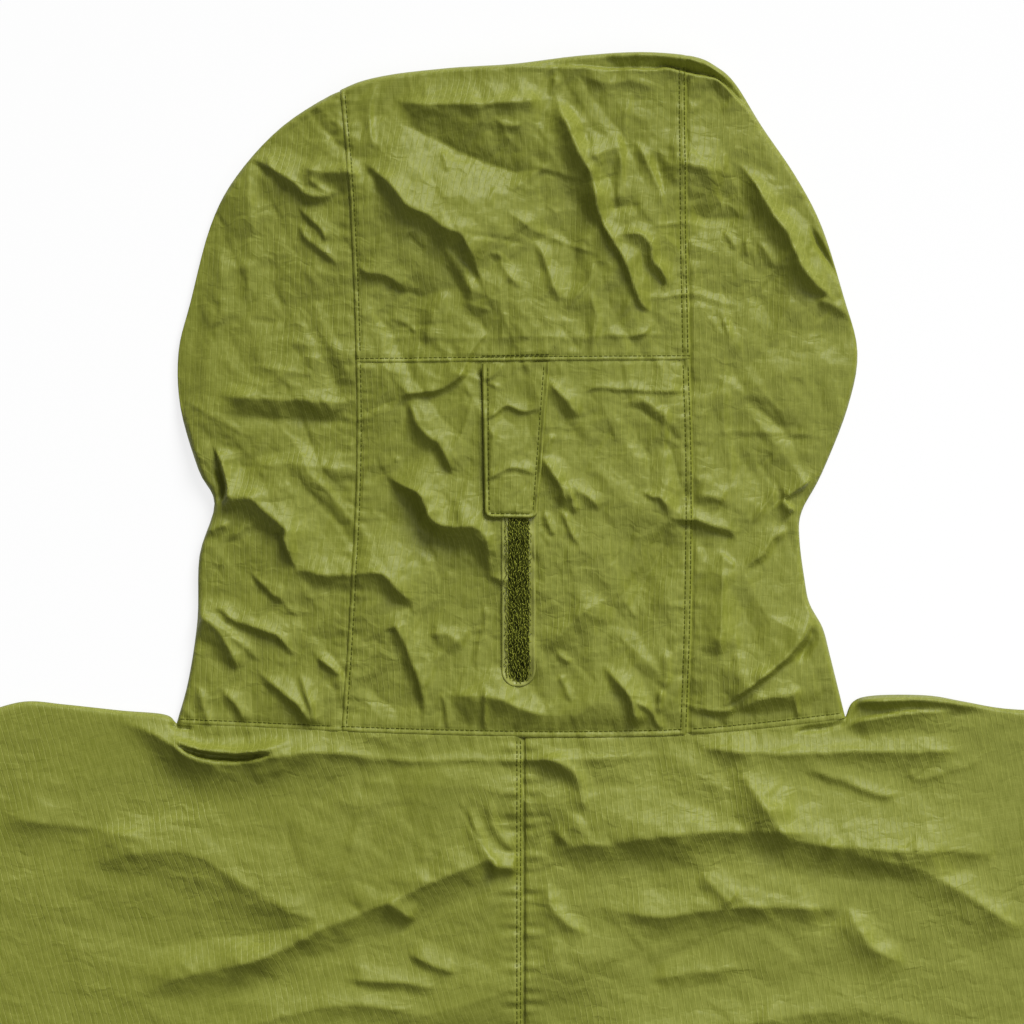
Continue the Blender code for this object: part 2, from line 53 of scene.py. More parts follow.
NECK_CLEARANCE = 0.35
neck_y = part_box("hood_nape")[0].y / MM - NECK_CLEARANCE
HOOD_EDGE = (  # across, up; from the left lower corner over the crown to the right lower corner
    (-172, 6), (-166, 28), (-161.5, 58), (-160.5, 90), (-153, 116), (-161, 133), (-170, 164),
    (-171, 192), (-165, 217), (-155, 255), (-142, 280), (-119, 305), (-90, 323), (-69, 330),
    (-36, 334), (-4, 336), (28, 340), (60, 342), (86, 340), (98, 335), (108, 326), (121, 305),
    (138, 280), (151, 255), (162, 220), (169, 192), (164, 164), (151, 131), (141, 112),
    (140, 98), (142.5, 78), (145, 66), (151.5, 54), (155, 41), (158.5, 27), (163, 9),
)
LEFT_SEAM = ((-89.5, 0), (-85, 66), (-82, 130), (-82, 188), (-85, 266), (-90, 323))
RIGHT_SEAM = ((84, 0), (86, 66), (86.5, 130), (85, 188), (83.5, 266), (83, 340))
CROSS_SEAM = ((-82, 185.9), (85, 187.4))
NECK_SEAM = ((-172, 6), (-135, 4.5), (-89.5, 2.5), (-45, 1), (0, 0), (42, 0), (84, 1), (124, 4.5), (163, 9))
FRONT_NECK = ((6, -80), (60, -64), (112, -26))
FACE_EDGE = ((20, 22), (60, 60), (98, 120), (110, 180), (104, 235))
BRIM_UP = 276.0
CHIN_TOP = 12.0
CENTRE_GAP = 6.0

# Height of the upper sheet down the middle of the garment, and how far across it falls off.
CREST = (  # up, height
    (-720, 5.5), (-260, 6.5), (-90, 9), (0, 12.5), (70, 15), (150, 18), (240, 19.5), (290, 18),
    (342, 15),
)
CREST_REACH = 232.0
LEAST_HEIGHT = 5.0
FOLD_REACH = 3.0           # how far in from its edge the garment is rounded
BODY_FOLD, HOOD_FOLD_MORE = 2.4, 1.2
HOOD_HALF_WIDTH = 176.0

# The creases that can be made out one by one: rise, width of the lit side, width of the steep
# side or its widths along the route, and the route as (across, up) with its steep side on the
# right. A negative rise is a valley.
HOOD_CREASES = (
    # over the crown
    (5.2, 34, (3, 6, 8, 8, 9, 10, 10, 8, 5, 3), ((-79, 288), (-72, 281), (-63, 272), (-55, 262.5),
     (-45, 258.5), (-37, 252.5), (-29, 250), (-24, 242.5), (-20, 231), (-13.5, 214))),
    (3.5, 14, 10, ((-110, 283.5), (-100, 281.5), (-90, 280.5), (-78, 279))),
    (1.3, 9, 3, ((-73, 292), (-75, 303), (-75, 315), (-71.5, 327))),
    (5, 15, (8, 16, 26, 30, 28), ((-64, 317), (-45, 315), (-20, 315), (0, 316), (17, 318))),
    (-3, 14, 20, ((-62, 306), (-50, 301), (-42, 297.5), (-28, 290.5), (-13, 284), (0, 281), (14, 284))),
    (0.9, 6, 2.5, ((-12.5, 309), (-8.5, 305), (-3, 304), (2, 305))),
    (1.7, 13, 3.5, ((-82, 236), (-76, 231), (-65, 228.5), (-59, 224.5), (-55, 220))),
    (1.5, 8, 7, ((-35, 223), (-41, 213), (-45, 203), (-47, 193))),
    (0.8, 6, 4, ((-30, 217.5), (-22, 214), (-14, 211.5))),
    (1.4, 8, 4, ((-17, 242), (-10, 239.5), (-9, 234), (-3, 227), (2, 222))),
    (0.7, 5, 2, ((-40.5, 293), (-37.5, 286), (-36, 280))),
    (0.6, 5, 2, ((-12, 273.5), (-17, 262))),
    (0.6, 6, 2, ((-66, 210), (-56, 205), (-51, 199.5))),
    (0.4, 4, 3, ((-80, 199), (-20, 198), (20, 199), (60, 200), (81, 199))),
    (6.8, 15, (4, 16, 20, 18, 16, 13, 9, 4), ((18, 323), (21, 311), (25, 301), (29, 291), (34, 282),
     (37, 272), (39, 262), (48, 243))),
    (2.6, 12, 3.2, ((38, 262), (44, 250), (51, 239), (56, 226), (61, 215), (67, 210.5))),
    (-1, 5, 6, ((24, 319), (28, 311), (32, 302), (34.5, 290))),
    (2.8, 12, (6, 20, 24), ((33, 288), (44, 291.5), (53, 293))),
    (1.6, 7, 4, ((50.5, 293), (50, 283), (49, 272), (50, 262))),
    (-1.3, 9, 5, ((44, 264), (52, 264), (62, 264.5))),
    (1.8, 6, 5, ((56, 297), (61, 289), (66, 279), (70, 270), (72, 260))),
    (-1.5, 5, 8, ((68, 293), (68.5, 284), (70.5, 275), (72.5, 259))),
    (3.6, 18, (14, 20, 22, 20), ((70, 284), (82, 285), (92, 283), (106, 282))),
    (-2.2, 8, 12, ((82, 262.5), (92, 259.5), (100, 259), (114, 259.5))),
    (0.6, 3, 2, ((64, 253.5), (75, 255), (85, 255.8), (96, 254.5), (108, 254.5))),
    (0.8, 5, 2, ((60, 217.5), (75, 219), (86, 219.8), (100, 216.5), (115, 214))),
    (2.8, 7, (3, 7, 8, 6, 5, 4, 3, 2), ((46, 249.5), (54, 250), (60, 250), (65, 244.5), (66.5, 236.5),
     (71, 231), (72.5, 226), (70.5, 220))),
    (1, 6, 2.2, ((22, 210), (28, 219), (33, 225), (35, 231), (36, 237))),
    (1.3, 8, 4, ((36.5, 190), (36.5, 200), (38, 208), (36, 216), (34.5, 224))),
    (1.7, 7, 4, ((7, 247), (12, 237), (15.5, 226), (20.5, 215))),
    (0.8, 4, 2, ((51, 199), (60, 200), (66, 204))),
    (0.8, 6, 3, ((51, 297), (52, 310), (54, 323))),
    (0.8, 3, 3, ((17, 330), (17.5, 325), (15, 319))),
    (1.1, 8, 5, ((30, 330), (42, 326), (56, 327), (68, 322))),
    (1.2, 8, 6, ((-40, 246), (-28, 232), (-22, 214))),
    (1, 8, 4, ((-8, 262), (6, 252), (18, 250))),
    (2.2, 16, 1.2, ((118, 307), (112, 313), (106, 319), (100, 325.3), (95, 328.5), (83, 331.3), (72, 333),
     (65, 332.3), (42, 332.3), (20, 333.7), (0, 334.2), (-14, 334.5))),
    (-3.2, 1.4, 8, ((119, 308.5), (113, 314.5), (107, 320.5), (101, 326.6), (95.5, 330), (83, 332.8),
     (72, 334.5), (65, 333.8), (42, 333.8), (20, 335))),
    (1.3, 7, 3, ((20, 338), (42, 339.5), (66, 340), (84, 338), (97, 333), (106, 325))),
    # the left side, above the waist
    (-2.4, 17, 2, ((-146, 273), (-156, 250), (-166, 217), (-171, 190), (-169, 163), (-160, 131))),
    (3.2, 14, (2, 3, 4, 5, 4, 4, 5), ((-137, 288.5), (-128, 285.5), (-120, 281), (-112, 276),
     (-106, 270.5), (-98, 269.5), (-90, 271))),
    (0.8, 4, 2, ((-107, 280), (-101, 275), (-97, 272), (-90, 270.5))),
    (0.7, 3, 1.8, ((-127.5, 291), (-124, 283))),
    (1.3, 5, 16, ((-136, 288), (-135, 272), (-134.5, 260), (-133, 246))),
    (1.6, 9, 2.4, ((-111, 266), (-106, 260), (-100, 254.5), (-97, 250), (-95.5, 245))),
    (1.5, 9, 3, ((-110.5, 257), (-107, 249.5), (-101, 244.5), (-96, 241), (-88, 233))),
    (1.6, 12, 18, ((-151, 252), (-150, 230), (-149.5, 215), (-151, 198))),
    (1.2, 10, 8, ((-139, 240), (-136, 228), (-136, 214))),
    (2.4, 14, 9, ((-152, 170), (-130, 169), (-105, 167), (-76, 166))),
    (-1.4, 7, 14, ((-148, 160), (-120, 158.5), (-100, 157), (-74, 156.5))),
    (1.8, 14, 12, ((-137, 131), (-118, 136), (-100, 134), (-73, 130))),
    (0.6, 3, 2, ((-121, 122.5), (-117, 124), (-114, 125.5))),
    # the left side, at the waist and below it
    (4.6, 14, 2, ((-153.5, 146), (-149, 135), (-146.5, 126), (-146.5, 119.5), (-149, 114))),
    (-2.6, 3, 3, ((-153, 134), (-149.5, 124), (-151, 115))),
    (4.8, 20, (8, 12, 13, 11, 9, 6, 3, 2.5, 2), ((-155, 115), (-143, 117.5), (-134, 117.5), (-128, 112.5),
     (-121, 107.5), (-116.5, 103), (-117, 98), (-115, 90), (-111, 81))),
    (1.7, 5, 4, ((-163, 100), (-152, 104), (-144, 107))),
    (0.9, 4, 3, ((-148, 97.5), (-141, 101.5), (-137.5, 104.5), (-133, 104))),
    (3.6, 22, (2, 7, 7, 9, 9, 8, 8, 6, 5, 3), ((-117, 81), (-108, 82.5), (-100, 80.5), (-90, 80.5),
     (-78, 81), (-69, 81), (-64, 77), (-59, 71.5), (-54, 66), (-51.5, 59))),
    (1.6, 10, 2.5, ((-135.5, 82), (-129, 75.5), (-124, 70.5), (-117, 66))),
    (0.7, 5, 2, ((-117, 64), (-111, 60.5))),
    (2.1, 10, 3.5, ((-156, 65), (-149, 63.5), (-144, 58.5), (-136, 55), (-127, 52), (-121, 50),
     (-116, 44), (-110, 37))),
    (1.4, 8, 4, ((-152, 58), (-144, 50), (-137, 44), (-130, 37))),
    (3.8, 12, (6, 10, 12, 9, 6, 2), ((-165, 62), (-158, 60), (-152, 55), (-147, 47), (-142, 38),
     (-140.5, 32))),
    (2.5, 13, 4, ((-132, 34), (-124, 26.5), (-117, 21), (-111, 16), (-105.5, 8), (-102, 2))),
    (1.7, 8, 3, ((-111, 32), (-106, 21), (-103, 12), (-102.5, 4))),
    (1.7, 9, 2.5, ((-102, 40), (-95, 35), (-88, 30))),
    (1.6, 7, 5, ((-150, 26), (-143, 18), (-139, 12), (-137, 6))),
    (1.6, 7, 5, ((-161, 26), (-157, 12), (-153, 4))),
    # the nape, left of the tab
    (2.2, 12, 3, ((-67, 160), (-61, 167), (-57, 170.5), (-50, 171), (-42, 172), (-34, 176), (-29, 181),
     (-25, 190), (-19, 198), (-11, 208))),
    (2.8, 14, (3, 4, 6, 8, 5, 5, 4, 2), ((-58, 171), (-54, 162), (-51, 155), (-46, 149), (-41, 146),
     (-37, 140), (-34, 134), (-31, 127))),
    (0.9, 5, 5, ((-24, 170), (-27, 158), (-30, 148), (-36, 139))),
    (6.4, 30, (3, 5, 7, 6, 6, 10, 15, 14, 9, 5), ((-68, 132), (-60, 126), (-51, 121.5), (-46.5, 114),
     (-42, 106), (-32, 104), (-22, 104), (-16.5, 98), (-15, 86), (-15, 73))),
    (0.9, 5, 2, ((-15, 80), (-10, 77.5), (-6, 78))),
    (1, 4, 2, ((-17, 26), (-17, 15), (-17, 2))),
    (3.2, 20, (8, 14, 16, 15, 11, 9, 8), ((-41, 21), (-28, 20.5), (-17, 20), (-10, 19), (0, 14.5),
     (10, 11.5), (24, 11))),
    (0.9, 5, 2, ((-41, 22), (-37.5, 17), (-36, 8), (-35, 2))),
    (3, 16, (2, 4, 5, 6, 5, 5, 4, 3), ((-71, 52), (-63, 54.5), (-60, 52), (-56, 44), (-54, 36), (-51, 26),
     (-48, 16), (-48, 2))),
    (0.8, 6, 3, ((-19, 68), (-17, 58), (-21, 44), (-22, 32))),
    (1.5, 12, 10, ((-45, 50), (-36, 50), (-28, 43))),
    # the nape, right of the tab
    (1, 5, 2, ((32, 171), (38, 173.5), (50, 172.8), (70, 172.3), (85, 172.8))),
    (1.7, 4, 14, ((73, 166), (72, 155), (71.5, 143))),
    (0.9, 5, 6, ((49, 166), (60, 166.5), (66, 164.5), (72, 163.5))),
    (2.4, 12, 6, ((13, 178), (19, 171), (25, 165), (30, 158))),
    (3.2, 8, 8, ((10, 142), (16, 132), (21, 123), (22, 113))),
    (1.4, 6, 4, ((22, 128), (26, 119), (28.5, 110))),
    (1.6, 8, 4, ((24, 132), (29, 123), (33, 121), (38, 117), (40, 112))),
    (1.2, 4, 3, ((11.5, 113), (15, 105), (18.5, 99))),
    (1, 4, 2, ((19.5, 114), (24, 107), (27, 100), (31, 95))),
    (1.1, 3, 3, ((12, 139), (14, 147), (17, 151))),
    (1.2, 6, 2.5, ((60, 123.5), (67, 120), (71, 118), (75, 108))),
    (2.6, 16, 3, ((72, 110), (80, 107.8), (87, 107.8), (95, 105.5), (101, 103.8), (106, 102), (109.5, 96))),
    (-2.4, 14, 12, ((73, 108), (71, 95), (66, 86), (61, 77), (54, 64))),
    (2.2, 12, 10, ((15, 40), (20, 50), (26, 56), (33, 62), (44, 69))),
    (0.9, 5, 3, ((18, 42), (22, 39), (26, 35))),
    (1.1, 6, 4, ((19.5, 31), (22, 25), (25.5, 16))),
    (2.8, 12, 5, ((40, 37), (49, 26), (54, 19), (57, 10), (58, 3))),
    (1.4, 6, 2, ((56, 18), (62, 14.5), (66, 11), (68, 6), (71, 2.5))),
    (1, 4, 2.5, ((72.5, 44), (72.5, 33), (71.5, 23))),
    (1.2, 4, 3, ((70.5, 24), (69, 18), (69, 10))),
    (0.6, 4, 2, ((50, 69), (55, 63), (58.5, 58))),
    # the right side
    (5.6, 12, (6, 9, 10, 10, 12, 12, 12, 10, 7, 4, 3), ((108, 288), (114, 281), (119, 274), (125, 264),
     (129, 256.5), (134, 249), (138, 240), (141, 233), (146, 226.5), (153, 220.5), (161, 214))),
    (-3.4, 3, 3.5, ((144, 256), (151, 243), (157, 233), (163, 222))),
    (1.5, 5, 4, ((148, 218), (157, 214.5), (164, 209))),
    (1.3, 8, 10, ((136, 221), (133, 213), (130, 206), (127, 193))),
    (-1.4, 14, 12, ((147, 187), (157, 195.5), (164, 203), (169, 207))),
    (1, 5, 2, ((101.5, 253), (105, 247.5), (108.5, 242))),
    (1, 3, 3, ((113.5, 249), (113, 244), (114, 239))),
    (1.2, 5, 4, ((119, 247), (124, 240), (128, 233))),
    (0.7, 3, 1.8, ((102, 292), (102, 282))),
    (1, 4, 2, ((102, 209), (103.5, 204), (106.5, 197))),
    (0.8, 5, 7, ((102, 203), (102, 175), (101, 160), (102, 150), (105, 135), (104, 120), (103, 107))),
    (0.5, 4, 2, ((90, 152), (130, 151), (157, 148))),
    (1.3, 5, 3, ((129, 126), (125, 119), (120, 113), (116, 106))),
    (2.6, 10, 10, ((87, 121.5), (96, 120), (103, 117))),
    (1, 4, 3, ((99, 92), (104, 87), (107, 85))),
    (2.1, 10, 4, ((108, 81), (116, 88), (121, 92), (125, 98), (130, 101), (136, 103.5))),
    (2.8, 14, 2, ((131, 118), (138, 122.5), (146, 128.5))),
    (2.8, 12, 2, ((138.5, 111.5), (134, 115.5), (131.5, 119))),
    (3.6, 16, 14, ((100.5, 95), (100.5, 80), (100.5, 60), (100, 48), (99, 36))),
    (4.8, 24, (2, 2, 2.5, 3, 5, 6, 4), ((99, 13), (110, 22), (120, 29), (130, 37), (139, 47), (143, 54),
     (145.5, 66))),
    (-2.2, 4, 5, ((147, 56), (143, 46), (138, 36))),
    (2.1, 8, 8, ((108, 13), (120, 19), (133, 20.5), (140, 23.5))),
    (1, 4, 1.6, ((138.5, 9), (137, 14), (135.5, 21))),
    (1.8, 8, 3, ((78, 18), (88, 14), (95, 13), (104, 13), (110, 15.5))),
)


BACK_CREASES = (  # rise, left width, right width, route as (across, up)
    (3.0, 5, 6, ((-176, 2), (-169, -5), (-160, -8), (-145, -6.5), (-132, -7), (-120, -4.5), (-108, 1))),
    (5.0, 9, 15, ((-209, 9), (-186, 2), (-172, -6), (-163, -12), (-151, -14), (-132, -12), (-109, -8),
     (-84, -9), (-58, -11))),
    (-4.0, 26, 13, ((-260, -72), (-237, -59), (-211, -47), (-188, -34), (-170, -28), (-154, -19))),
    (3.5, 24, 14, ((-262, -40), (-236, -44), (-205, -48), (-184, -52))),
    (3.0, 20, 16, ((-225, -78), (-200, -60), (-168, -58), (-148, -68), (-118, -86), (-100, -92))),
    (-3.0, 18, 10, ((-244, -92), (-210, -98), (-180, -103), (-150, -101), (-125, -98), (-96, -96))),
    (5.5, 34, 12, ((-188, -131), (-172, -122), (-128, -110), (-98, -96), (-66, -83), (-40, -71),
     (-18, -62), (-12, -58))),
    (2.5, 6, 8, ((-67, -82), (-52, -93))),
    (2.5, 7, 5, ((-26, -35), (-21, -49), (-15, -60), (-10, -68))),
    (1.8, 6, 4, ((-16, -31), (-13, -46), (-2, -59))),
    (3.0, 6, 9, ((-16, -64), (0, -65.5))),
    (5.0, 26, 13, ((15, -61), (27, -55), (49, -53), (66, -50), (95, -47), (130, -48), (150, -49))),
    (2.5, 9, 6, ((31, -40), (17, -53))),
    (3.0, 5, 10, ((2, -11), (15, -12.5), (27, -18), (31, -31), (32, -39))),
    (2.5, 5, 9, ((13, -70), (17, -86), (25, -95), (36, -100))),
    (3.5, 18, 9, ((36, -84), (55, -89), (72, -90), (90, -87), (120, -85), (150, -86), (166, -87))),
    (2.0, 10, 3, ((-56, -107), (-44, -114), (-31, -119))),
    (2.0, 8, 4, ((-90, -122), (-62, -123), (-40, -126))),
    (1.0, 3, 3, ((-90, -11.5), (0, -12), (80, -10))),
    (4.0, 7, 12, ((83, -4), (104, -7), (136, -8.5), (172, -8.5), (208, -7.5), (224, -8.5))),
    (6.5, 30, 12, ((106, -8), (113, -22), (122, -36), (134, -50), (150, -54), (174, -56), (198, -57),
     (222, -57), (246, -62))),
    (3.0, 9, 16, ((150, -55), (196, -66), (222, -78), (240, -90), (256, -97))),
    (3.5, 7, 16, ((164, -84), (170, -97), (179, -108), (196, -116))),
    (1.8, 8, 3, ((141, -15), (160, -23), (179, -29), (191, -29))),
    (1.4, 5, 3, ((195, -13), (198, -21), (214, -18), (238, -10))),
    (2.2, 9, 5, ((88, -66), (101, -80), (106, -84))),
    (1.8, 8, 6, ((65, -122), (83, -118), (113, -117))),
    (2.2, 10, 8, ((-150, -148), (-95, -135), (-40, -140))),
    (2.0, 14, 10, ((20, -140), (80, -150), (160, -138), (230, -150))),
    (3.0, 30, 18, ((-250, -190), (-120, -230), (-20, -260))),
    (3.0, 30, 18, ((30, -200), (140, -240), (270, -215))),
    (2.5, 28, 20, ((-270, -380), (-120, -350), (-10, -330))),
    (2.5, 28, 20, ((20, -420), (150, -400), (280, -440))),
    (2.5, 24, 16, ((-240, -560), (-110, -520), (-30, -470))),
    (2.5, 24, 16, ((40, -600), (160, -540), (270, -560))),
)


NECK_GAPS = (  # the narrow gaps where the cloth folds over itself at the ends of the neck seam
    (2.4, 3, 2.2, ((-174, -1), (-165, -5), (-155, -7), (-143, -8), (-132, -7), (-120, -5.5))),
    (-5.0, 1.9, 2.6, ((-173, -3.5), (-165, -7.5), (-155, -9.8), (-143, -10.8), (-132, -9.8), (-122, -8))),
    (-3.0, 1.6, 1.6, ((-176, 5.5), (-170, 3.8), (-162, 3.5))),
    (-4.0, 2.0, 2.4, ((136, 1.5), (144, 3), (152, 3.5), (160, 5.5), (165, 8))),
    (-4.0, 2.4, 2.0, ((163, 8), (166, 11.5), (168, 16), (169, 19))),
    (4.4, 2, 6.5, ((166, 14), (172, 17.5), (186, 18.5), (202, 18.5), (222, 16), (244, 12.5))),
    (3.4, 1.3, 14, ((163, 3.5), (172, 8), (184, 10.5), (198, 12), (222, 12.5))),
)


def smooth_step(share):
    """An even change from 0 to 1 that starts and ends gently."""
    share = np.clip(share, 0.0, 1.0)
    return share * share * (3 - 2 * share)


def spline(points, per_span=8):
    """A smooth line through the points, as an array of (across, up)."""
    points = np.array(points, float)
    padded = np.vstack([2 * points[0] - points[1], points, 2 * points[-1] - points[-2]])
    steps = np.linspace(0, 1, per_span, endpoint=False)[:, None]
    spans = []
    for a, b, c, d in zip(padded, padded[1:], padded[2:], padded[3:]):
        spans.append(0.5 * (2 * b + (c - a) * steps + (2 * a - 5 * b + 4 * c - d) * steps ** 2
                            + (3 * b - a - 3 * c + d) * steps ** 3))
    return np.vstack(spans + [points[-1:]])


def line_length(line):
    return float(np.sum(np.linalg.norm(np.diff(line, axis=0), axis=1)))


def running_length(line):
    """The length of a line up to each of its points."""
    return np.concatenate([[0], np.cumsum(np.linalg.norm(np.diff(line, axis=0), axis=1))])


def along(line, shares):
    """Points at the given shares of a line's length."""
    lengths = running_length(line)
    places = np.asarray(shares) * lengths[-1]
    return np.column_stack([np.interp(places, lengths, line[:, axis]) for axis in (0, 1)])


def between(line, low, high=math.inf, axis=1):
    """The points of a line that lie between two values, up the garment or across it."""
    return line[(line[:, axis] > low) & (line[:, axis] < high)]


def mirrored(points):
    return tuple((-across, up) for across, up in points)


def patch(bottom, top, inner, outer, across_shares, up_shares):
    """Plan grid between four boundary lines, rows running from inner to outer."""
    low, high = along(bottom, across_shares), along(top, across_shares)
    near, far = along(inner, up_shares), along(outer, up_shares)
    u = np.asarray(across_shares)[None, :, None]
    v = np.asarray(up_shares)[:, None, None]
    corners = ((1 - u) * (1 - v) * low[0] + u * (1 - v) * low[-1]
               + (1 - u) * v * high[0] + u * v * high[-1])
    return (1 - v) * low[None] + v * high[None] + (1 - u) * near[:, None] + u * far[:, None] - corners


def near_line(places, line, reach):
    """Distance to a line, its side (1 on the left) and the share along it, for places in reach."""
    low, high = line.min(axis=0) - reach, line.max(axis=0) + reach
    inside = np.flatnonzero(np.all((places > low) & (places < high), axis=1))
    near = places[inside]
    moving = np.concatenate([[True], np.linalg.norm(np.diff(line, axis=0), axis=1) > 1e-6])
    line = line[moving]
    starts, spans = line[:-1], np.diff(line, axis=0)
    best = np.full(len(near), 1e9)
    side, share = np.zeros(len(near)), np.zeros(len(near))
    for index, (start, span) in enumerate(zip(starts, spans)):
        offset = near - start
        t = np.clip(offset @ span / (span @ span), 0, 1)
        gap = np.linalg.norm(offset - t[:, None] * span, axis=1)
        closer = gap < best
        best = np.where(closer, gap, best)
        side = np.where(closer, np.sign(span[0] * offset[:, 1] - span[1] * offset[:, 0]), side)
        share = np.where(closer, (index + t) / len(spans), share)
    return inside, best, side, share


CREASE_END = 0.26          # the share of a crease's length over which it fades


def wandering(places):
    """Places moved a little at random, so that a long crease runs and deepens unevenly."""
    moved = places.copy()
    for level, (spacing, reach) in enumerate(((27, 0.9), (11, 0.45), (4.6, 0.2))):
        for axis in (0, 1):
            moved[:, axis] += reach * faceted(places / spacing + 5 * axis, 700 + 2 * level + axis)
    return moved


def crease_height(places, creases):
    """Adds up the creases, each falling from its route to both sides and fading at its ends."""
    total = np.zeros(len(places))
    uneven = 1.42 + 0.22 * faceted(places / 14, 720) + 0.2 * faceted(places / 6, 721)
    places = wandering(places)
    for rise, lit, steep, route in creases:
        line = spline(route, 5)
        inside, gap, side, share = near_line(places, line, max(np.max(lit), np.max(steep)))
        widths = [np.interp(share, np.linspace(0, 1, np.size(each)), np.atleast_1d(each).astype(float))
                  for each in (lit, steep)]
        width = np.where(side > 0, *widths)
        power = np.where(width > np.where(side > 0, *widths[::-1]), 2.1, 1.7)
        ends = smooth_step(share / CREASE_END) * smooth_step((1 - share) / CREASE_END)
        fall = np.clip(1 - (np.sqrt(gap ** 2 + 0.15) - 0.39) / (width * (0.4 + 0.6 * ends)), 0, 1)
        total[inside] += rise * fall ** power * ends
    return total * uneven


def crinkles(seed, count, low, high, rise, width, length, lean=0.6):
    """Small straight creases, scattered and turned at random about the bias of the cloth."""
    draw = np.random.default_rng(seed)
    made = []
    for _ in range(count):
        middle = draw.uniform(low, high)
        turn = draw.choice([-1, 1]) * draw.normal(math.pi / 4, lean)
        half = draw.uniform(*length) / 2 * np.array([math.cos(turn), math.sin(turn)])
        left, right = draw.uniform(*width, 2)
        size = draw.uniform(*rise) * draw.choice([-1, 1])
        made.append((size, left, right, (middle - half, middle + half)))
    return made


def faceted(places, seed):
    """Random heights at the corners of unit cells, joined by flat triangles."""
    table = np.random.default_rng(seed).uniform(-1, 1, (64, 64, 2))
    cell = np.floor(places).astype(int)
    x, y = (places - cell).T
    near, far = cell % 64, (cell + 1) % 64
    low_left, split = table[near[:, 0], near[:, 1]].T
    low_right = table[far[:, 0], near[:, 1], 0]
    high_left = table[near[:, 0], far[:, 1], 0]
    high_right = table[far[:, 0], far[:, 1], 0]
    rising = np.where(x > y, low_left + x * (low_right - low_left) + y * (high_right - low_right),
                      low_left + y * (high_left - low_left) + x * (high_right - high_left))
    falling = np.where(x + y < 1, low_left + x * (low_right - low_left) + y * (high_left - low_left),
                       high_right + (1 - x) * (high_left - high_right) + (1 - y) * (low_right - high_right))
    return np.where(split > 0, rising, falling)


def crumple(places, levels, seed):
    """Flat facets with sharp creases between them; levels give spacing, height, turn, stretch."""
    total = np.zeros(len(places))
    for index, (spacing, height, turn, stretch) in enumerate(levels):
        grain = np.array([[math.cos(turn), math.sin(turn)], [-math.sin(turn), math.cos(turn)]])
        cells = places @ grain.T / (spacing * stretch, spacing / stretch)
        start = seed + 10 * index
        drift = np.column_stack([faceted(cells * 0.8 + 7, start + step) for step in (1, 2)])
        strength = 0.55 + 0.75 * np.abs(faceted(places / (spacing * 3.1), start + 3))
        folded = faceted(cells + 0.62 * drift, start + 4)
        creased = np.abs(faceted(cells * 0.71 + 0.5 * drift + 3, start + 5)) - 0.33
        total += height * strength * (folded + 0.9 * creased)
    return total


def edge_distance(places, lines, reach):
    """Distance to the nearest of the lines, and no more than reach."""
    nearest = np.full(len(places), float(reach))
    for line in lines:
        for start in range(0, len(line) - 1, 12):
            inside, gap, _, _ = near_line(places, line[start:start + 13], reach)
            nearest[inside] = np.minimum(nearest[inside], gap)
    return nearest


def crest_height(places):
    """The broad rise of the upper sheet, highest down the middle of the garment."""
    rows = np.array(CREST, float)
    middle = np.interp(places[:, 1], rows[:, 0], rows[:, 1])
    fall = 1 - smooth_step(np.abs(places[:, 0]) / CREST_REACH)
    return LEAST_HEIGHT + (middle - LEAST_HEIGHT) * fall


def fold_lift(places):
    """Height of the fold between the two sheets at the edges, a little higher on the hood."""
    share = smooth_step((places[:, 1] - 6) / 40)
    return BODY_FOLD + HOOD_FOLD_MORE * share * (np.abs(places[:, 0]) < HOOD_HALF_WIDTH)


def quarter_round(share):
    return np.sqrt(np.clip(1 - (1 - np.clip(share, 0, 1)) ** 2, 0, 1))


def upper_sheet(places, lines, creases, crumpled):
    """Height of the sheet that faces up: its crest and creases, brought down to the fold."""
    round_off = quarter_round(edge_distance(places, lines, FOLD_REACH) / FOLD_REACH)
    lift = fold_lift(places)
    crest = crest_height(places)
    loose = 0.45 + 0.55 * smooth_step((crest - LEAST_HEIGHT) / 6)
    height = crest + crease_height(places, creases) + loose * crumpled(places)
    height = LEAST_HEIGHT - 1 + np.logaddexp(0, (height - LEAST_HEIGHT + 1) / 1.2) * 1.2
    return lift + (height - 0.3 - lift) * round_off


def zip_rise(places):
    """The lift of the chin over the zip's slider and pull, which lie under it."""
    across = smooth_step(1 - (np.abs(places[:, 0]) - CENTRE_GAP) / 28)
    lengthwise = smooth_step(1 - (np.abs(places[:, 1]) - 12) / 36)
    return 3.7 * across * lengthwise


def lower_sheet(places, lines, creases):
    """Height of the sheet that lies on the table, dented upwards by its creases."""
    round_off = quarter_round(edge_distance(places, lines, FOLD_REACH) / FOLD_REACH)
    lift = fold_lift(places)
    dents = np.clip(crease_height(places, creases), 0, 1.2)
    return lift - (lift - 0.35 - dents) * round_off + zip_rise(places)


def raised(plan, height):
    """A plan grid with its heights, as rows of (across, up, height)."""
    return np.dstack([plan, height.reshape(plan.shape[:2])])


def sewn(name, points, faces, cut_places):
    """A piece of points in millimetres, which keeps their places on the flat cloth as "cut"."""
    mesh = bpy.data.meshes.new(name)
    mesh.from_pydata((points + [0, neck_y, 0]) * MM, [], faces)
    mesh.shade_smooth()
    cut = mesh.attributes.new("cut", "FLOAT_VECTOR", "POINT")
    cut.data.foreach_set("vector", (cut_places * MM).ravel().astype(np.float32))
    piece = bpy.data.objects.new(name, mesh)
    bpy.context.scene.collection.objects.link(piece)
    return piece


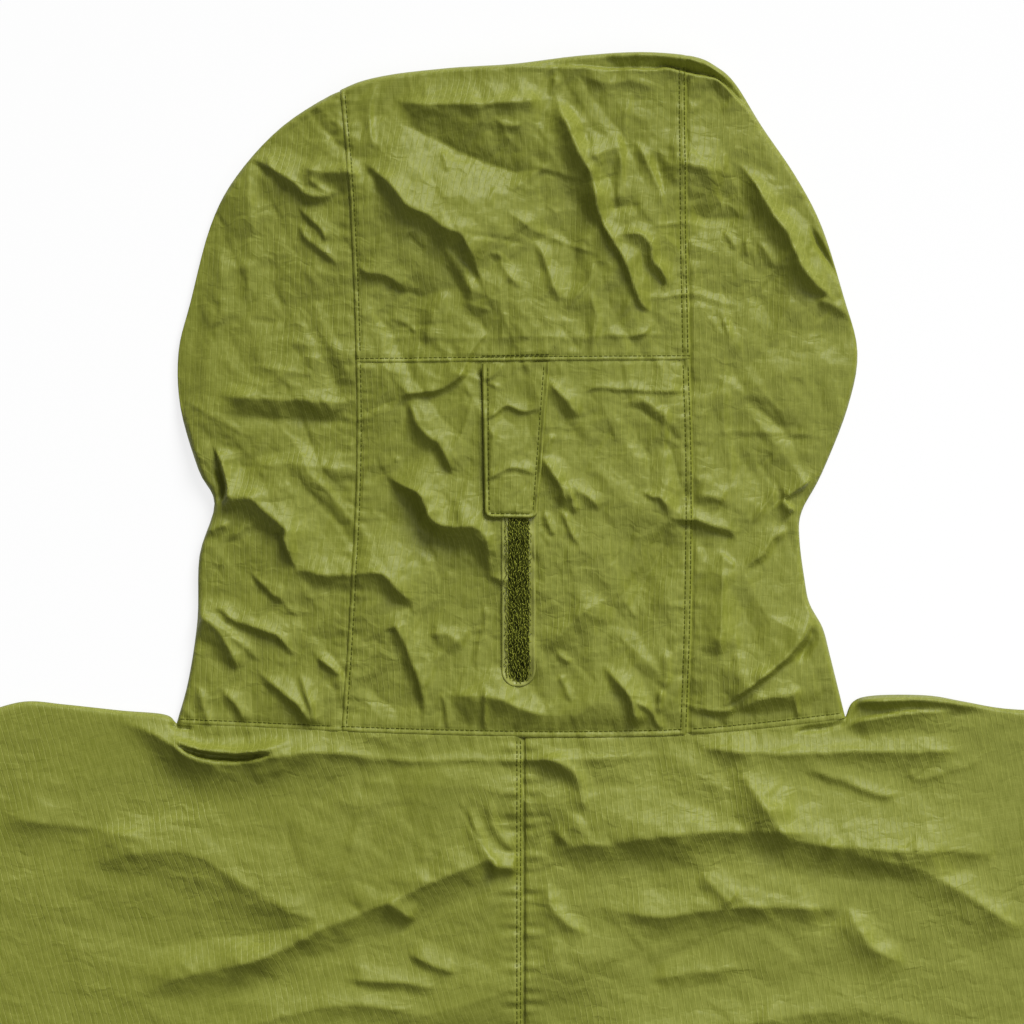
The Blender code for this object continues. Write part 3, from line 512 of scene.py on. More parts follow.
def cloth(name, rows, closed=False, grain=0.0):
    """A grid of (across, up, height) as cloth, cut at an angle to the grain."""
    count_up, count_across = rows.shape[:2]
    flat = rows.reshape(-1, 3)
    index = np.arange(count_up * count_across).reshape(count_up, count_across)
    if closed:
        index = np.hstack([index, index[:, :1]])
    corners = np.stack([index[:-1, :-1], index[:-1, 1:], index[1:, 1:], index[1:, :-1]], axis=-1)
    across, up, height = flat.T
    across, up = across + 0.45 * height, up - 0.35 * height    # the weave runs over the creases
    turned = np.column_stack([across * math.cos(grain) + up * math.sin(grain),
                              up * math.cos(grain) - across * math.sin(grain), height])
    return sewn(name, flat, corners.reshape(-1, 4), turned)


def dress(piece, finish, slot, node=None, **sheet):
    """Gives a piece of the garment its finish, hides the CAD part of its node if it has one, and attaches it
    to the garment; the slot and the sheet's facts are not used.
    """
    piece.data.materials.append(finish.material)
    if node:
        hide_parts(node)
    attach(piece, "garment")


class Socket:
    """A socket that adds Math nodes when it is used in an expression."""

    def __init__(self, tree, link):
        self.tree, self.link = tree, link

    def math(self, operation, *others, clamp=False):
        node = self.tree.nodes.new("ShaderNodeMath")
        node.operation, node.use_clamp = operation, clamp
        for slot, value in enumerate((self, *others)):
            connect(self.tree, node.inputs[slot], value)
        return Socket(self.tree, node.outputs[0])

    def __add__(self, other): return self.math("ADD", other)
    def __radd__(self, other): return self.math("ADD", other)
    def __sub__(self, other): return self.math("SUBTRACT", other)
    def __rsub__(self, other): return Socket.math(constant(self.tree, other), "SUBTRACT", self)
    def __mul__(self, other): return self.math("MULTIPLY", other)
    def __rmul__(self, other): return self.math("MULTIPLY", other)
    def __truediv__(self, other): return self.math("DIVIDE", other)
    def clamped(self): return self.math("ADD", 0.0, clamp=True)


def constant(tree, number):
    node = tree.nodes.new("ShaderNodeValue")
    node.outputs[0].default_value = number
    return Socket(tree, node.outputs[0])


def connect(tree, slot, value):
    if isinstance(value, Socket):
        tree.links.new(value.link, slot)
    else:
        slot.default_value = value


class Finish:
    """A material with one Principled shader, whose other nodes come from node()."""

    def __init__(self, name, roughness, metallic=0.0, **fixed):
        self.material = bpy.data.materials.new(name)
        self.material.use_nodes = True
        self.tree = self.material.node_tree
        self.shader = self.tree.nodes["Principled BSDF"]
        self.shader.inputs["Metallic"].default_value = metallic
        self.feed("Roughness", roughness)
        for slot, value in fixed.items():
            self.shader.inputs[slot.replace("_", " ")].default_value = value

    def node(self, kind, settings=None, output=0, **sockets):
        made = self.tree.nodes.new(kind)
        for key, value in (settings or {}).items():
            if key == "stops":
                for stop, (place, colour) in zip(made.color_ramp.elements, value):
                    stop.position, stop.color = place, colour
            else:
                setattr(made, key, value)
        for name, value in sockets.items():
            slot = made.inputs[int(name[1:]) if name[0] == "_" else name.replace("_", " ")]
            connect(self.tree, slot, value)
        return Socket(self.tree, made.outputs[output])

    def feed(self, slot, value):
        connect(self.tree, self.shader.inputs[slot], value)

    def cut(self):
        """The place on the flat cloth, in metres."""
        return self.node("ShaderNodeAttribute", {"attribute_name": "cut"}, output=1)

    def axis(self, vector, index):
        return self.node("ShaderNodeSeparateXYZ", output=index, Vector=vector)

    def noise(self, vector, scale, detail=3.0, roughness=0.6):
        return self.node("ShaderNodeTexNoise", Vector=vector, Scale=scale, Detail=detail,
                         Roughness=roughness)

    def mixed(self, share, first, second, kind="MIX"):
        return self.node("ShaderNodeMix", {"data_type": "RGBA", "blend_type": kind}, output=2,
                         _0=share, _6=first, _7=second)

    def bump(self, height, distance, strength=1.0):
        self.feed("Normal", self.node("ShaderNodeBump", Height=height, Distance=distance,
                                      Strength=strength))


def stripes(place, pitch, width):
    """1 on the thicker yarns, which come every pitch along a cut coordinate, else 0."""
    phase = (place / pitch).math("FRACT")
    nearness = 1 - ((phase - 0.5).math("ABSOLUTE") * 2)
    return (1 - (nearness * (pitch / width))).clamped()


RIPSTOP_PITCH = 0.0029
RIPSTOP_YARN = 0.0006
SHELL_COLOUR = (0.191, 0.211, 0.021, 1)
SHELL_PALE = (0.303, 0.318, 0.066, 1)
SHELL_DEEP = (0.102, 0.121, 0.005, 1)

shell_cloth = Finish("ripstop_shell", 0.5, Specular_IOR_Level=0.26)
cut = shell_cloth.cut()
grain_across, grain_up = shell_cloth.axis(cut, 0), shell_cloth.axis(cut, 1)
wander = (shell_cloth.noise(cut, 90.0, 2.0) - 0.5) * 0.0014
warp = stripes(grain_across + wander, RIPSTOP_PITCH, RIPSTOP_YARN)
weft = stripes(grain_up + wander, RIPSTOP_PITCH, RIPSTOP_YARN)
mottle = shell_cloth.noise(cut, 26.0, 5.0, 0.62)
patchy = shell_cloth.noise(cut, 14.0, 3.0, 0.5)
shown = warp * (patchy * 2.4 - 0.5).clamped()
shown = shown.math("MAXIMUM", weft * (patchy * -2.6 + 1.5).clamped() * 0.38)
lengthwise = shell_cloth.node("ShaderNodeMapping", Vector=cut, Scale=(1.0, 0.13, 1.0))
yarns = shell_cloth.noise(lengthwise, 950.0, 2.0)
colour = shell_cloth.mixed((yarns * 2.2 - 0.6).clamped() * 0.5 + mottle * 0.3, SHELL_DEEP, SHELL_PALE)
colour = shell_cloth.mixed(0.45, colour, SHELL_COLOUR)
colour = shell_cloth.mixed(shown * 0.5, colour, SHELL_PALE)
shell_cloth.feed("Base Color", colour)
shell_cloth.feed("Roughness", 0.45 + mottle * 0.12)


def pressed(vector, turn, stretch, scale):
    """Small flat facets, as pressed into crumpled cloth: the distance to the nearest fold."""
    turned = shell_cloth.node("ShaderNodeMapping", Vector=vector, Rotation=(0.0, 0.0, turn),
                              Scale=(stretch, 1.0, 0.0))
    cells = {"feature": "DISTANCE_TO_EDGE", "voronoi_dimensions": "2D"}
    return shell_cloth.node("ShaderNodeTexVoronoi", cells, Vector=turned, Scale=scale, Randomness=1.0)


drift = shell_cloth.node("ShaderNodeTexNoise", output=1, Vector=cut, Scale=60.0, Detail=3.0)
bent = shell_cloth.node("ShaderNodeVectorMath", {"operation": "MULTIPLY_ADD"}, _0=drift,
                        _1=(0.02, 0.02, 0.0), _2=cut)
facets = pressed(bent, 0.6, 0.55, 75.0) + pressed(bent, 2.2, 0.5, 160.0) * 0.5
pressed_in = facets * (patchy * 1.8 - 0.4).clamped() * 1.2
shell_cloth.bump(pressed_in + shown * 0.12 + yarns * 0.06 + mottle * 0.2, 0.001)

hood_edge = spline(HOOD_EDGE, 5)
left_seam, right_seam = spline(LEFT_SEAM), spline(RIGHT_SEAM)
crown_start = int(np.argmin(np.linalg.norm(hood_edge - left_seam[-1], axis=1)))
crown_end = int(np.argmin(np.linalg.norm(hood_edge - right_seam[-1], axis=1)))
neck_line = spline(NECK_SEAM)
# Facets of the crumple: spacing, height, turn and stretch, from the largest to the smallest.
HOOD_CRUMPLE = ((40, 3.6, 0.5, 1.25), (18, 1.6, 2.0, 1.45), (8, 0.6, 0.9, 1.4), (3.9, 0.2, 2.6, 1.3))
BACK_CRUMPLE = ((60, 3.5, 0.1, 1.5), (26, 1.5, 2.9, 1.5), (12, 0.55, 0.3, 1.4))
BACK_FINE_CRUMPLE = ((5.5, 0.16, 2.7, 1.3),)
hood_creases = [(rise, lit, 1.04 * np.array(steep), route) for rise, lit, steep, route in HOOD_CREASES]
hood_creases += crinkles(11, 110, (-175, 0), (175, 345), (0.25, 0.7), (2, 8), (10, 45))
back_creases = [(0.9 * rise, 1.5 * lit, 1.35 * steep, route) for rise, lit, steep, route in BACK_CREASES]
back_creases += NECK_GAPS
back_creases += crinkles(21, 90, (-270, -160), (270, 10), (0.2, 0.6), (4, 12), (14, 50), 0.9)
back_creases += crinkles(22, 60, (-300, -700), (300, -170), (0.8, 2.0), (10, 24), (50, 150), 0.9)


def reaching(creases, low, high):
    """The creases that come into a band across the garment."""
    ups = [np.array(route)[:, 1] for _, _, _, route in creases]
    return [crease for crease, up in zip(creases, ups) if up.max() > low and up.min() < high]


# Both sides of the neck seam follow the same creases, so that the panels meet along it.
NECK_REACH = 30.0
hood_creases, back_creases = (hood_creases + reaching(back_creases, -NECK_REACH, 400),
                              back_creases + reaching(hood_creases, -800, NECK_REACH))


def hood_crumple(places):
    """The hood's crumple, which passes into the back's at the neck seam."""
    neck_up = np.interp(places[:, 0], neck_line[:, 0], neck_line[:, 1])
    share = smooth_step((places[:, 1] - neck_up) / 16)
    return (1 - share) * back_crumple(places) + share * crumple(places, HOOD_CRUMPLE, 300)


def near_neck(places):
    """1 on the top of the back, where its fine creases are, and 0 further down."""
    return smooth_step((places[:, 1] + 175) / 20)


def back_crumple(places):
    return crumple(places, BACK_CRUMPLE, 500) + near_neck(places) * crumple(places, BACK_FINE_CRUMPLE, 560)


LAP = 0.5                  # height of a lapped edge over the panel under it


def ridge(gap, at, width):
    """A soft ridge of height 1 beside an edge."""
    return np.exp(-((gap - at) / width) ** 2)


def seam_pucker(places, line, seed, reach=10.0, rise=0.4, sunk=0.3):
    """Short ripples that a tight line of stitches draws across a seam."""
    draw = np.random.default_rng(seed)
    inside, gap, side, share = near_line(places, line, reach)
    total = np.zeros(len(places))
    length = line_length(line)
    ripple = np.zeros(len(inside))
    for period in (5.5, 8.0, 13.0):
        phase = draw.uniform(0, 2 * math.pi)
        ripple += np.sin(share * length / period * 2 * math.pi + phase + side * 0.6) / 3
    away = smooth_step(gap / 3.5) * np.clip(1 - gap / reach, 0, 1) * 2
    total[inside] = rise * ripple * (0.2 + 0.6 * away) - sunk * ridge(gap, 0, 1.2)
    return total


def beside(line, gap):
    """A line moved sideways by a gap, to the left of its direction."""
    spans = np.gradient(line, axis=0)
    spans /= np.linalg.norm(spans, axis=1)[:, None]
    return line + gap * np.column_stack([-spans[:, 1], spans[:, 0]])


def fine(line, step=2.0):
    """The same line with points a step apart."""
    return along(line, np.linspace(0, 1, max(int(line_length(line) / step), 2)))


cross_seam = fine(np.array(CROSS_SEAM, float))
OVERHANG = 0.7             # the hood's lower edge lies over the back
neck_edge = neck_line - (0, OVERHANG)
NECK_SEED = 43
# The puckered seams: line, seed of its ripples, and how far the stitches pull it in.
HOOD_SEAMS = ((left_seam, 40, 0.3), (right_seam, 41, 0.75), (cross_seam, 42, 0.3),
              (neck_line, NECK_SEED, 0.3))
ROW_GAP = 2.5              # between two rows of stitches, and from an edge to its row
RIGHT_ROW = 1.2            # from the right seam to its first row
hood_rows = [beside(fine(left_seam), -ROW_GAP), beside(fine(right_seam), RIGHT_ROW),
             beside(fine(right_seam), RIGHT_ROW + ROW_GAP), beside(cross_seam, ROW_GAP),
             beside(fine(neck_line), ROW_GAP)]


def row_grooves(places, rows, depth=0.5, half_width=0.9):
    """The shallow groove that a row of stitches pulls into the cloth."""
    gap = edge_distance(places, rows, 4.0)
    return -depth * ridge(gap, 0, half_width)


def hood_height(places):
    """Height of the hood's upper sheet, before its panels are lapped over each other."""
    height = upper_sheet(places, [hood_edge], hood_creases, hood_crumple)
    for line, seed, sunk in HOOD_SEAMS:
        height += seam_pucker(places, line, seed, sunk=sunk)
    return height + row_grooves(places, hood_rows)


def lapped(places, edges, height, offset):
    """Rounds a lapped panel down at its edges to the panel under it, over the last millimetre."""
    gap = edge_distance(places, edges, 6.0)
    over = height + LAP * np.sqrt(np.clip(gap / 0.6, 0, 1)) + 0.05
    return over + 0.3 * ridge(gap, 1.3, 0.8) - 0.25 * smooth_step((gap - 1) / 5) + offset


def step_shares(length, step):
    return np.linspace(0, 1, max(int(round(length / step)), 2) + 1)


def seam_shares(length, step):
    """Even shares with close ones at both ends, where a seam's edge turns down."""
    turn = np.array([0.0, 0.2, 0.5, 0.9, 1.4])
    flat = np.linspace(2, length - 2, max(int(length / step), 2))
    return np.concatenate([turn, flat, length - turn[::-1]]) / length


def fold_shares(length, step):
    """Even shares that crowd towards a fold at 1."""
    turn = np.array([4.6, 3.6, 2.7, 1.9, 1.25, 0.75, 0.4, 0.15, 0.0])
    flat = np.linspace(0, length - 5.4, max(int(length / step), 2))
    return np.concatenate([flat, length - turn]) / length


def nape_height(places):
    return lapped(places, [left_seam, right_seam, neck_edge], hood_height(places), 0.0)


def crown_height(places):
    return lapped(places, [left_seam, right_seam, cross_seam], hood_height(places), 0.12)


def side_height(places):
    return lapped(places, [neck_edge], hood_height(places), -0.1)


CENTRE_WIDTH, NAPE_LENGTH, CROWN_LENGTH = 170.0, 188.0, 146.0
SIDE_WIDTH, SIDE_LENGTH = 84.0, 320.0
BRIM_DEPTH, FACING_DEPTH = 58.0, 96.0  # of the crown and the sides, under the hood
UNDERLAP = 3.0             # of a side under the centre panels
BRIM_INSET = 1.5
FINE_STEP = 0.8            # of the mesh where the creases show


def folded_under(upper, upper_height, lower, under):
    """Rows that run over the upper plan grid to the fold and back along the lower one."""
    over = raised(upper, upper_height(upper.reshape(-1, 2)))
    return np.concatenate([over, raised(lower, under)[:, ::-1][:, 1:]], axis=1)


def nape_panel():
    """The nape, from under the crown's edge at the cross seam down over the neck seam."""
    cross = np.array(CROSS_SEAM, float) + [0, 2.5]
    neck = between(neck_edge, left_seam[0][0] + 1, right_seam[0][0] - 1, axis=0)
    neck = np.vstack([left_seam[:1] + [0, 2.5 - OVERHANG], neck, right_seam[:1] + [0, 1.0 - OVERHANG]])
    left = np.vstack([neck[:1], between(left_seam, 5, 182), cross[:1]])
    right = np.vstack([neck[-1:], between(right_seam, 5, 182), cross[1:]])
    plan = patch(neck, cross, left, right, seam_shares(CENTRE_WIDTH, FINE_STEP),
                 seam_shares(NAPE_LENGTH, FINE_STEP))
    return cloth("hood_nape_cloth", raised(plan, nape_height(plan.reshape(-1, 2))))


def crown_panel():
    """The crown, from the cross seam over the fold to the brim underneath."""
    cross = np.array(CROSS_SEAM, float)
    left = np.vstack([cross[:1], between(left_seam, 192)])
    right = np.vstack([cross[1:], between(right_seam, 194)])
    fold = hood_edge[crown_start:crown_end + 1].copy()
    fold[0], fold[-1] = left[-1], right[-1]
    across = seam_shares(CENTRE_WIDTH, FINE_STEP)
    upper = patch(left, right, cross, fold, fold_shares(CROWN_LENGTH, FINE_STEP), across)
    brim = np.array([[left[-1][0] + BRIM_INSET, BRIM_UP], [right[-1][0] - BRIM_INSET, BRIM_UP]])
    lower = patch(np.vstack([brim[:1], left[-1:]]), np.vstack([brim[1:], right[-1:]]), brim, fold,
                  fold_shares(BRIM_DEPTH, 2.0), across)
    below = lower.reshape(-1, 2)
    under = lower_sheet(below, [hood_edge], hood_creases)
    under += 0.5 * smooth_step(edge_distance(below, [hood_edge], 12.0) / 12)
    return cloth("hood_crown_cloth", folded_under(upper, crown_height, lower, under))


def side_panel(name, sign):
    """A side, from under the centre panels over the hood's edge to the face opening."""
    flip = mirrored if sign < 0 else tuple
    seam = left_seam if sign < 0 else right_seam
    rim = hood_edge[:crown_start + 1] if sign < 0 else hood_edge[crown_end:][::-1]
    inner = along(seam, np.linspace(0, 0.985, 60)) - [sign * UNDERLAP, 0]
    neck = neck_edge[::-1] if sign < 0 else neck_edge
    neck = neck[sign * neck[:, 0] > abs(inner[0][0]) + 2][:-1]
    neck = np.vstack([(inner[0][0], neck[0][1]), neck, rim[:1]])
    inner[0] = neck[0]
    rim = np.vstack([neck[-1:], rim[1:-1], seam[-1:] - [sign * UNDERLAP, 0]])
    up = step_shares(SIDE_LENGTH, 1.0)
    upper = patch(neck, np.vstack([inner[-1:], rim[-1:]]), inner, rim, fold_shares(SIDE_WIDTH, 0.85), up)
    front_neck = spline(flip(FRONT_NECK) + (tuple(rim[0]),))[::-1]
    front_neck[0] = rim[0]
    zip_edge = np.array([front_neck[-1], (sign * CENTRE_GAP, CHIN_TOP)])
    brim_end = (rim[-1][0] - sign * BRIM_INSET, BRIM_UP)
    face = np.vstack([zip_edge[:1], spline([zip_edge[1], *flip(FACE_EDGE), brim_end])])
    lower = patch(front_neck[::-1], np.vstack([face[-1:], rim[-1:]]), face, rim,
                  fold_shares(FACING_DEPTH, 2.2), up)
    under = lower_sheet(lower.reshape(-1, 2), [hood_edge], hood_creases)
    return cloth(name, folded_under(upper, side_height, lower, under))


for piece, node, flat_size, area in (
        (nape_panel(), "hood_nape", (0.176, 0.190), None),
        (crown_panel(), "hood_crown", (0.176, 0.225), None),
        (side_panel("hood_side_left_cloth", -1), "hood_side_left", (0.30, 0.44), 0.066),
        (side_panel("hood_side_right_cloth", 1), "hood_side_right", (0.30, 0.44), 0.066)):
    dress(piece, shell_cloth, "shell", node, flat=flat_size, held="laid",
          rests_on=["front_left", "front_right"], area=area)


# ------------------------------------------------------------------------------------------
# The hood's topstitching. Spun polyester thread in the shell's green, about ten stitches to the
# inch: one row on the left long seam, the cross seam and the neck seam, two on the right one.

STITCH_PITCH = 2.5
STITCH_LENGTH = 2.05
THREAD = 0.6
STITCH_RINGS = ((-0.5, 0.3), (-0.3, 1.0), (0.3, 1.0), (0.5, 0.3))  # along, radius
STITCH_SIDES = 5
STITCH_PROUD = 0.12        # the thread's middle over the cloth
# The thread is painted darker than the shell: partly its own green, partly painted shade that stands in for
# the shade of the stitch holes and of the grooves beside the thread.
THREAD_DARK_WITH_PAINTED_SHADE = (0.050, 0.060, 0.002, 1)
THREAD_PALE_WITH_PAINTED_SHADE = (0.125, 0.140, 0.010, 1)

thread = Finish("sewing_thread_painted_shade", 0.7, Specular_IOR_Level=0.15)
strands = thread.noise(thread.cut(), 1400.0, 2.0)
thread.feed("Base Color", thread.mixed(strands, THREAD_DARK_WITH_PAINTED_SHADE, THREAD_PALE_WITH_PAINTED_SHADE))
thread.bump(strands, 0.0001)


def tube_faces(rings, sides):
    """The quads of a tube whose points are given ring by ring."""
    return [(ring * sides + turn, ring * sides + (turn + 1) % sides,
             (ring + 1) * sides + (turn + 1) % sides, (ring + 1) * sides + turn)
            for ring in range(rings - 1) for turn in range(sides)]


def stitched(name, runs):
    """Stitches along runs of (across, up, height), joined in one mesh."""
    centres, headings = [], []
    for run in runs:
        lengths = running_length(run)
        middles = np.arange(STITCH_PITCH / 2, lengths[-1], STITCH_PITCH)
        at = [np.column_stack([np.interp(middles + shift, lengths, run[:, axis]) for axis in range(3)])
              for shift in (-STITCH_LENGTH / 2, 0, STITCH_LENGTH / 2)]
        heading = at[2] - at[0]
        centres.append(at[1])
        headings.append(heading / np.linalg.norm(heading, axis=1)[:, None])
    centres, headings = np.vstack(centres), np.vstack(headings)
    side = np.cross(headings, (0, 0, 1.0))
    side /= np.linalg.norm(side, axis=1)[:, None]
    turns = np.linspace(0, 2 * math.pi, STITCH_SIDES, endpoint=False)
    template = np.array([(place * STITCH_LENGTH, radius * THREAD / 2 * math.cos(turn),
                          radius * THREAD / 2 * math.sin(turn))
                         for place, radius in STITCH_RINGS for turn in turns])
    up = np.cross(side, headings)
    points = (centres[:, None] + template[None, :, :1] * headings[:, None]
              + template[None, :, 1:2] * side[:, None] + template[None, :, 2:] * up[:, None])
    each = len(template)
    caps = [tuple(range(STITCH_SIDES))[::-1], tuple(range(each - STITCH_SIDES, each))]
    faces = [tuple(first + index for index in face) for first in range(0, each * len(centres), each)
             for face in tube_faces(len(STITCH_RINGS), STITCH_SIDES) + caps]
    flat = points.reshape(-1, 3)
    dress(sewn(name, flat, faces, flat), thread, "shell")


def laid_on(line, height_of, proud=STITCH_PROUD):
    """A stitching line at the height of the cloth that it is sewn through."""
    line = fine(line, 1.2)
    return np.column_stack([line, height_of(line) + proud])


def off_the_fold(row):
    """Where a row can be seen: it stops short of the crown's fold."""
    return row[edge_distance(row, [hood_edge], 9.0) > 3.5]


*long_rows, cross_row, neck_row = hood_rows
left_foot, right_foot = left_seam[0][0], right_seam[0][0]
on_nape = [between(row, 4, 186) for row in long_rows] + [between(neck_row, left_foot, right_foot, axis=0)]
on_crown = [off_the_fold(between(row, 190, 334)) for row in long_rows] + [cross_row]
on_sides = [between(neck_row, -math.inf, left_foot, axis=0), between(neck_row, right_foot, axis=0)]
runs = [laid_on(row, nape_height) for row in on_nape]
runs += [laid_on(row, crown_height) for row in on_crown]
runs += [laid_on(row[1:-1], side_height) for row in on_sides]
stitched("hood_topstitching", runs)


# ------------------------------------------------------------------------------------------
# The hood's adjuster. A tapered tab of two layers of shell cloth, topstitched all round, its
# root sewn into the cross seam. Its free end has a strip of hooks that grips the loop tape on
# the nape, a warp-knit tape with a sewn rim and a rounded lower end.

TAB_CORNERS = ((-19.1, 185.4), (15.1, 186.4), (8.6, 108.8), (-17.6, 109.2))
TAB_THICKNESS = 1.2
TAB_WIDTH, TAB_LENGTH = 24.0, 76.0  # at its end, and from its root to its end
TAB_CORNER = 3.2
TAB_ROOT = 186.0           # where the cross seam holds it
TAB_ROOT_LIFT, TAB_END_LIFT = 0.3, 1.2
LOOP_MIDDLE, LOOP_WIDTH, LOOP_TOP, LOOP_END = -0.8, 17.2, 160.0, 24.7
HOOK_WIDTH, HOOK_SPAN = 14.0, (113.0, 143.0)
TAB_ROW = 2.2              # from the tab's edge to its stitches
BAR_ROW = ((-19.3, 189.7), (15.3, 190.4))
RIM_WIDTH = 2.1
LOOP_TAPE_LIFT = 0.75      # of the tape's top over the nape
TAB_CREASES = (
    (1.5, 7, 2.2, ((-19, 157), (-13, 161), (-7, 165), (1, 163), (12, 163))),
    (1.0, 6, 2.5, ((-18, 126), (-4, 134), (10, 131))),
    (0.8, 4, 2.5, ((-19, 176), (-13, 180), (-8, 186))),
    (0.6, 4, 8, ((-12, 186), (-13, 150), (-15, 115))),
)


def round_corners(tab):
    """Draws the sides in towards the free end, so that its two corners are round."""
    for row in tab:
        short = max(TAB_CORNER - (row[:, 1].mean() - TAB_CORNERS[3][1]), 0)
        draw_in = TAB_CORNER - math.sqrt(TAB_CORNER ** 2 - min(short, TAB_CORNER) ** 2)
        middle = row[:, 0].mean()
        half = (row[-1, 0] - row[0, 0]) / 2
        row[:, 0] = middle + (row[:, 0] - middle) * (half - draw_in) / half
    return tab


def tab_height(places):
    """Height of the tab's middle: it lies on the nape and bridges its valleys."""
    share = (TAB_ROOT - places[:, 1]) / TAB_LENGTH
    lift = TAB_ROOT_LIFT + (TAB_END_LIFT - TAB_ROOT_LIFT) * smooth_step(share * 1.6 - 0.5)
    lying = np.maximum(hood_height(places), crest_height(places) + crease_height(places, HOOD_CREASES) - 0.4)
    wrinkled = crumple(places, ((11, 0.5, 0.4, 1.2), (4.5, 0.16, 1.4, 1.2)), 900)
    return lying + lift + 1.0 + crease_height(places, TAB_CREASES) + 0.6 * wrinkled


top_left, top_right, end_right, end_left = np.array(TAB_CORNERS, float)
tab_ups = np.concatenate([np.linspace(0, 0.04, 9), np.linspace(0.04, 1, 112)[1:]])
tab_plan = round_corners(patch(np.vstack([end_left, end_right]), np.vstack([top_left, top_right]),
                               np.vstack([end_left, top_left]), np.vstack([end_right, top_right]),
                               step_shares(30, 0.6), tab_ups))
tab_flat = tab_plan.reshape(-1, 2)
tab_outline = [fine(tab_plan[:, 0], 1.0), fine(tab_plan[0], 1.0), fine(tab_plan[:, -1], 1.0)]
tab_edge = edge_distance(tab_flat, tab_outline, 5.0)
puffed = 0.5 * ridge(tab_edge, 0.9, 0.6) - 0.35 * ridge(tab_edge, TAB_ROW, 0.6)
half_wall = TAB_THICKNESS / 2 * quarter_round(tab_edge / 0.8)
tab_middle = tab_height(tab_flat)
tab_top = raised(tab_plan, tab_middle + half_wall + puffed)
tab_bottom = raised(tab_plan, tab_middle - half_wall)
tab = cloth("hood_tab_cloth", np.concatenate([tab_top, tab_bottom[:, ::-1]], axis=1), closed=True)
dress(tab, shell_cloth, "shell", "hood_tab", flat=(0.066, 0.080), held="folded",
      rests_on=["hood_nape_cloth"], area=0.0047)


def inside_tab(share_across, share_up):
    """A place on the tab, by its shares of the width and of the length from the free end."""
    low = end_left + (end_right - end_left) * share_across
    high = top_left + (top_right - top_left) * share_across
    return low + (high - low) * share_up


def on_tab(corners):
    """A stitching line on the tab's upper face."""
    line = fine(np.array(corners), 0.8)
    return np.column_stack([line, tab_height(line) + TAB_THICKNESS / 2 - 0.12])


side_in, end_in = TAB_ROW / TAB_WIDTH, TAB_ROW / TAB_LENGTH
tab_runs = [on_tab([inside_tab(side_in, 0.98), inside_tab(side_in, 0.05)]),
            on_tab([inside_tab(side_in + 0.02, end_in), inside_tab(1 - side_in - 0.02, end_in)]),
            on_tab([inside_tab(1 - side_in, 0.05), inside_tab(1 - side_in, 0.98)])]
bar_run = laid_on(np.array(BAR_ROW), crown_height, 0.2)
stitched("tab_topstitching", tab_runs + [bar_run])

# The ground of the loop tape and of the hook strip is painted nearly black, far darker than its yarn: painted
# shade that stands in for the shade between the loops.
GROUND_DARK_PAINTED_SHADE, GROUND_PALE_PAINTED_SHADE = (0.008, 0.011, 0.001, 1), (0.070, 0.080, 0.006, 1)
YARN_DARK, YARN_PALE = (0.060, 0.072, 0.004, 1), (0.290, 0.315, 0.036, 1)
RIM_DARK, RIM_PALE = (0.200, 0.218, 0.036, 1), (0.270, 0.285, 0.060, 1)

pile = Finish("tape_ground_painted_shade", 0.9, Specular_IOR_Level=0.12)
tufts = pile.noise(pile.cut(), 380.0, 3.0)
pile.feed("Base Color", pile.mixed((tufts * 2.2 - 0.6).clamped(), GROUND_DARK_PAINTED_SHADE, GROUND_PALE_PAINTED_SHADE))
pile.bump(tufts, 0.0005)

pile_yarn = Finish("pile_yarn", 0.8, Specular_IOR_Level=0.15)
fibres = pile_yarn.noise(pile_yarn.cut(), 700.0, 2.0)
pile_yarn.feed("Base Color", pile_yarn.mixed((fibres * 2.4 - 0.7).clamped(), YARN_DARK, YARN_PALE))
pile_yarn.bump(fibres, 0.0002)

tape_rim = Finish("tape_rim", 0.4, Specular_IOR_Level=0.35)
tape_rim.feed("Base Color", tape_rim.mixed(tape_rim.noise(tape_rim.cut(), 300.0), RIM_DARK, RIM_PALE))


def strip_plan(half, start, end, step):
    """The plan grid of a strip with a round lower end, closer towards its rim."""
    ups = np.concatenate([start + half * (1 - np.cos(np.linspace(0.06, math.pi / 2, 12))),
                          np.arange(start + half + step, end, step)])
    reach = np.sqrt(np.clip(half ** 2 - np.clip(start + half - ups, 0, half) ** 2, 0.5, None))
    half_sides = (0.2, 0.4, 0.6, 0.76, 0.82, 0.86, 0.9, 0.94, 0.97, 1)
    sides = [-side for side in half_sides[::-1]] + [0, *half_sides]
    return np.array([[(LOOP_MIDDLE + side * width, up) for side in sides] for width, up in zip(reach, ups)])


def nape_lying(places):
    """The nape as it lies under the stiff tape: its creases, without the small crumple."""
    return np.maximum(hood_height(places), hood_height(places + (1.5, 0)))


tape_plan = strip_plan(LOOP_WIDTH / 2, LOOP_END, LOOP_TOP, 1.0)
tape_flat = tape_plan.reshape(-1, 2)
tape_side = np.abs(tape_flat[:, 0] - LOOP_MIDDLE)
round_end = LOOP_END + LOOP_WIDTH / 2
from_centre = np.linalg.norm(tape_flat - (LOOP_MIDDLE, round_end), axis=1)
tape_side = np.where(tape_flat[:, 1] < round_end, from_centre, tape_side)
rim = 0.35 * ridge(tape_side - LOOP_WIDTH / 2, -0.9, 0.6) - 0.5 * (tape_side > LOOP_WIDTH / 2 - 0.1)
tape = cloth("loop_tape_base", raised(tape_plan, nape_lying(tape_flat) + LOOP_TAPE_LIFT + rim))
dress(tape, pile, "loop", "loop_tape", flat=(0.0165, 0.134), held="laid", rests_on=["hood_nape_cloth"])
tape.data.materials.append(tape_rim.material)
on_rim = (tape_side > LOOP_WIDTH / 2 - RIM_WIDTH).reshape(tape_plan.shape[:2])
on_rim = (on_rim[:-1, :-1] | on_rim[1:, 1:]).ravel()
tape.data.polygons.foreach_set("material_index", on_rim.astype(np.int32))


LOOP_RADIUS, LOOP_YARN = 0.8, 0.24  # of a loop, and of its yarn as a share of that
LOOP_RINGS, LOOP_SIDES = 6, 4


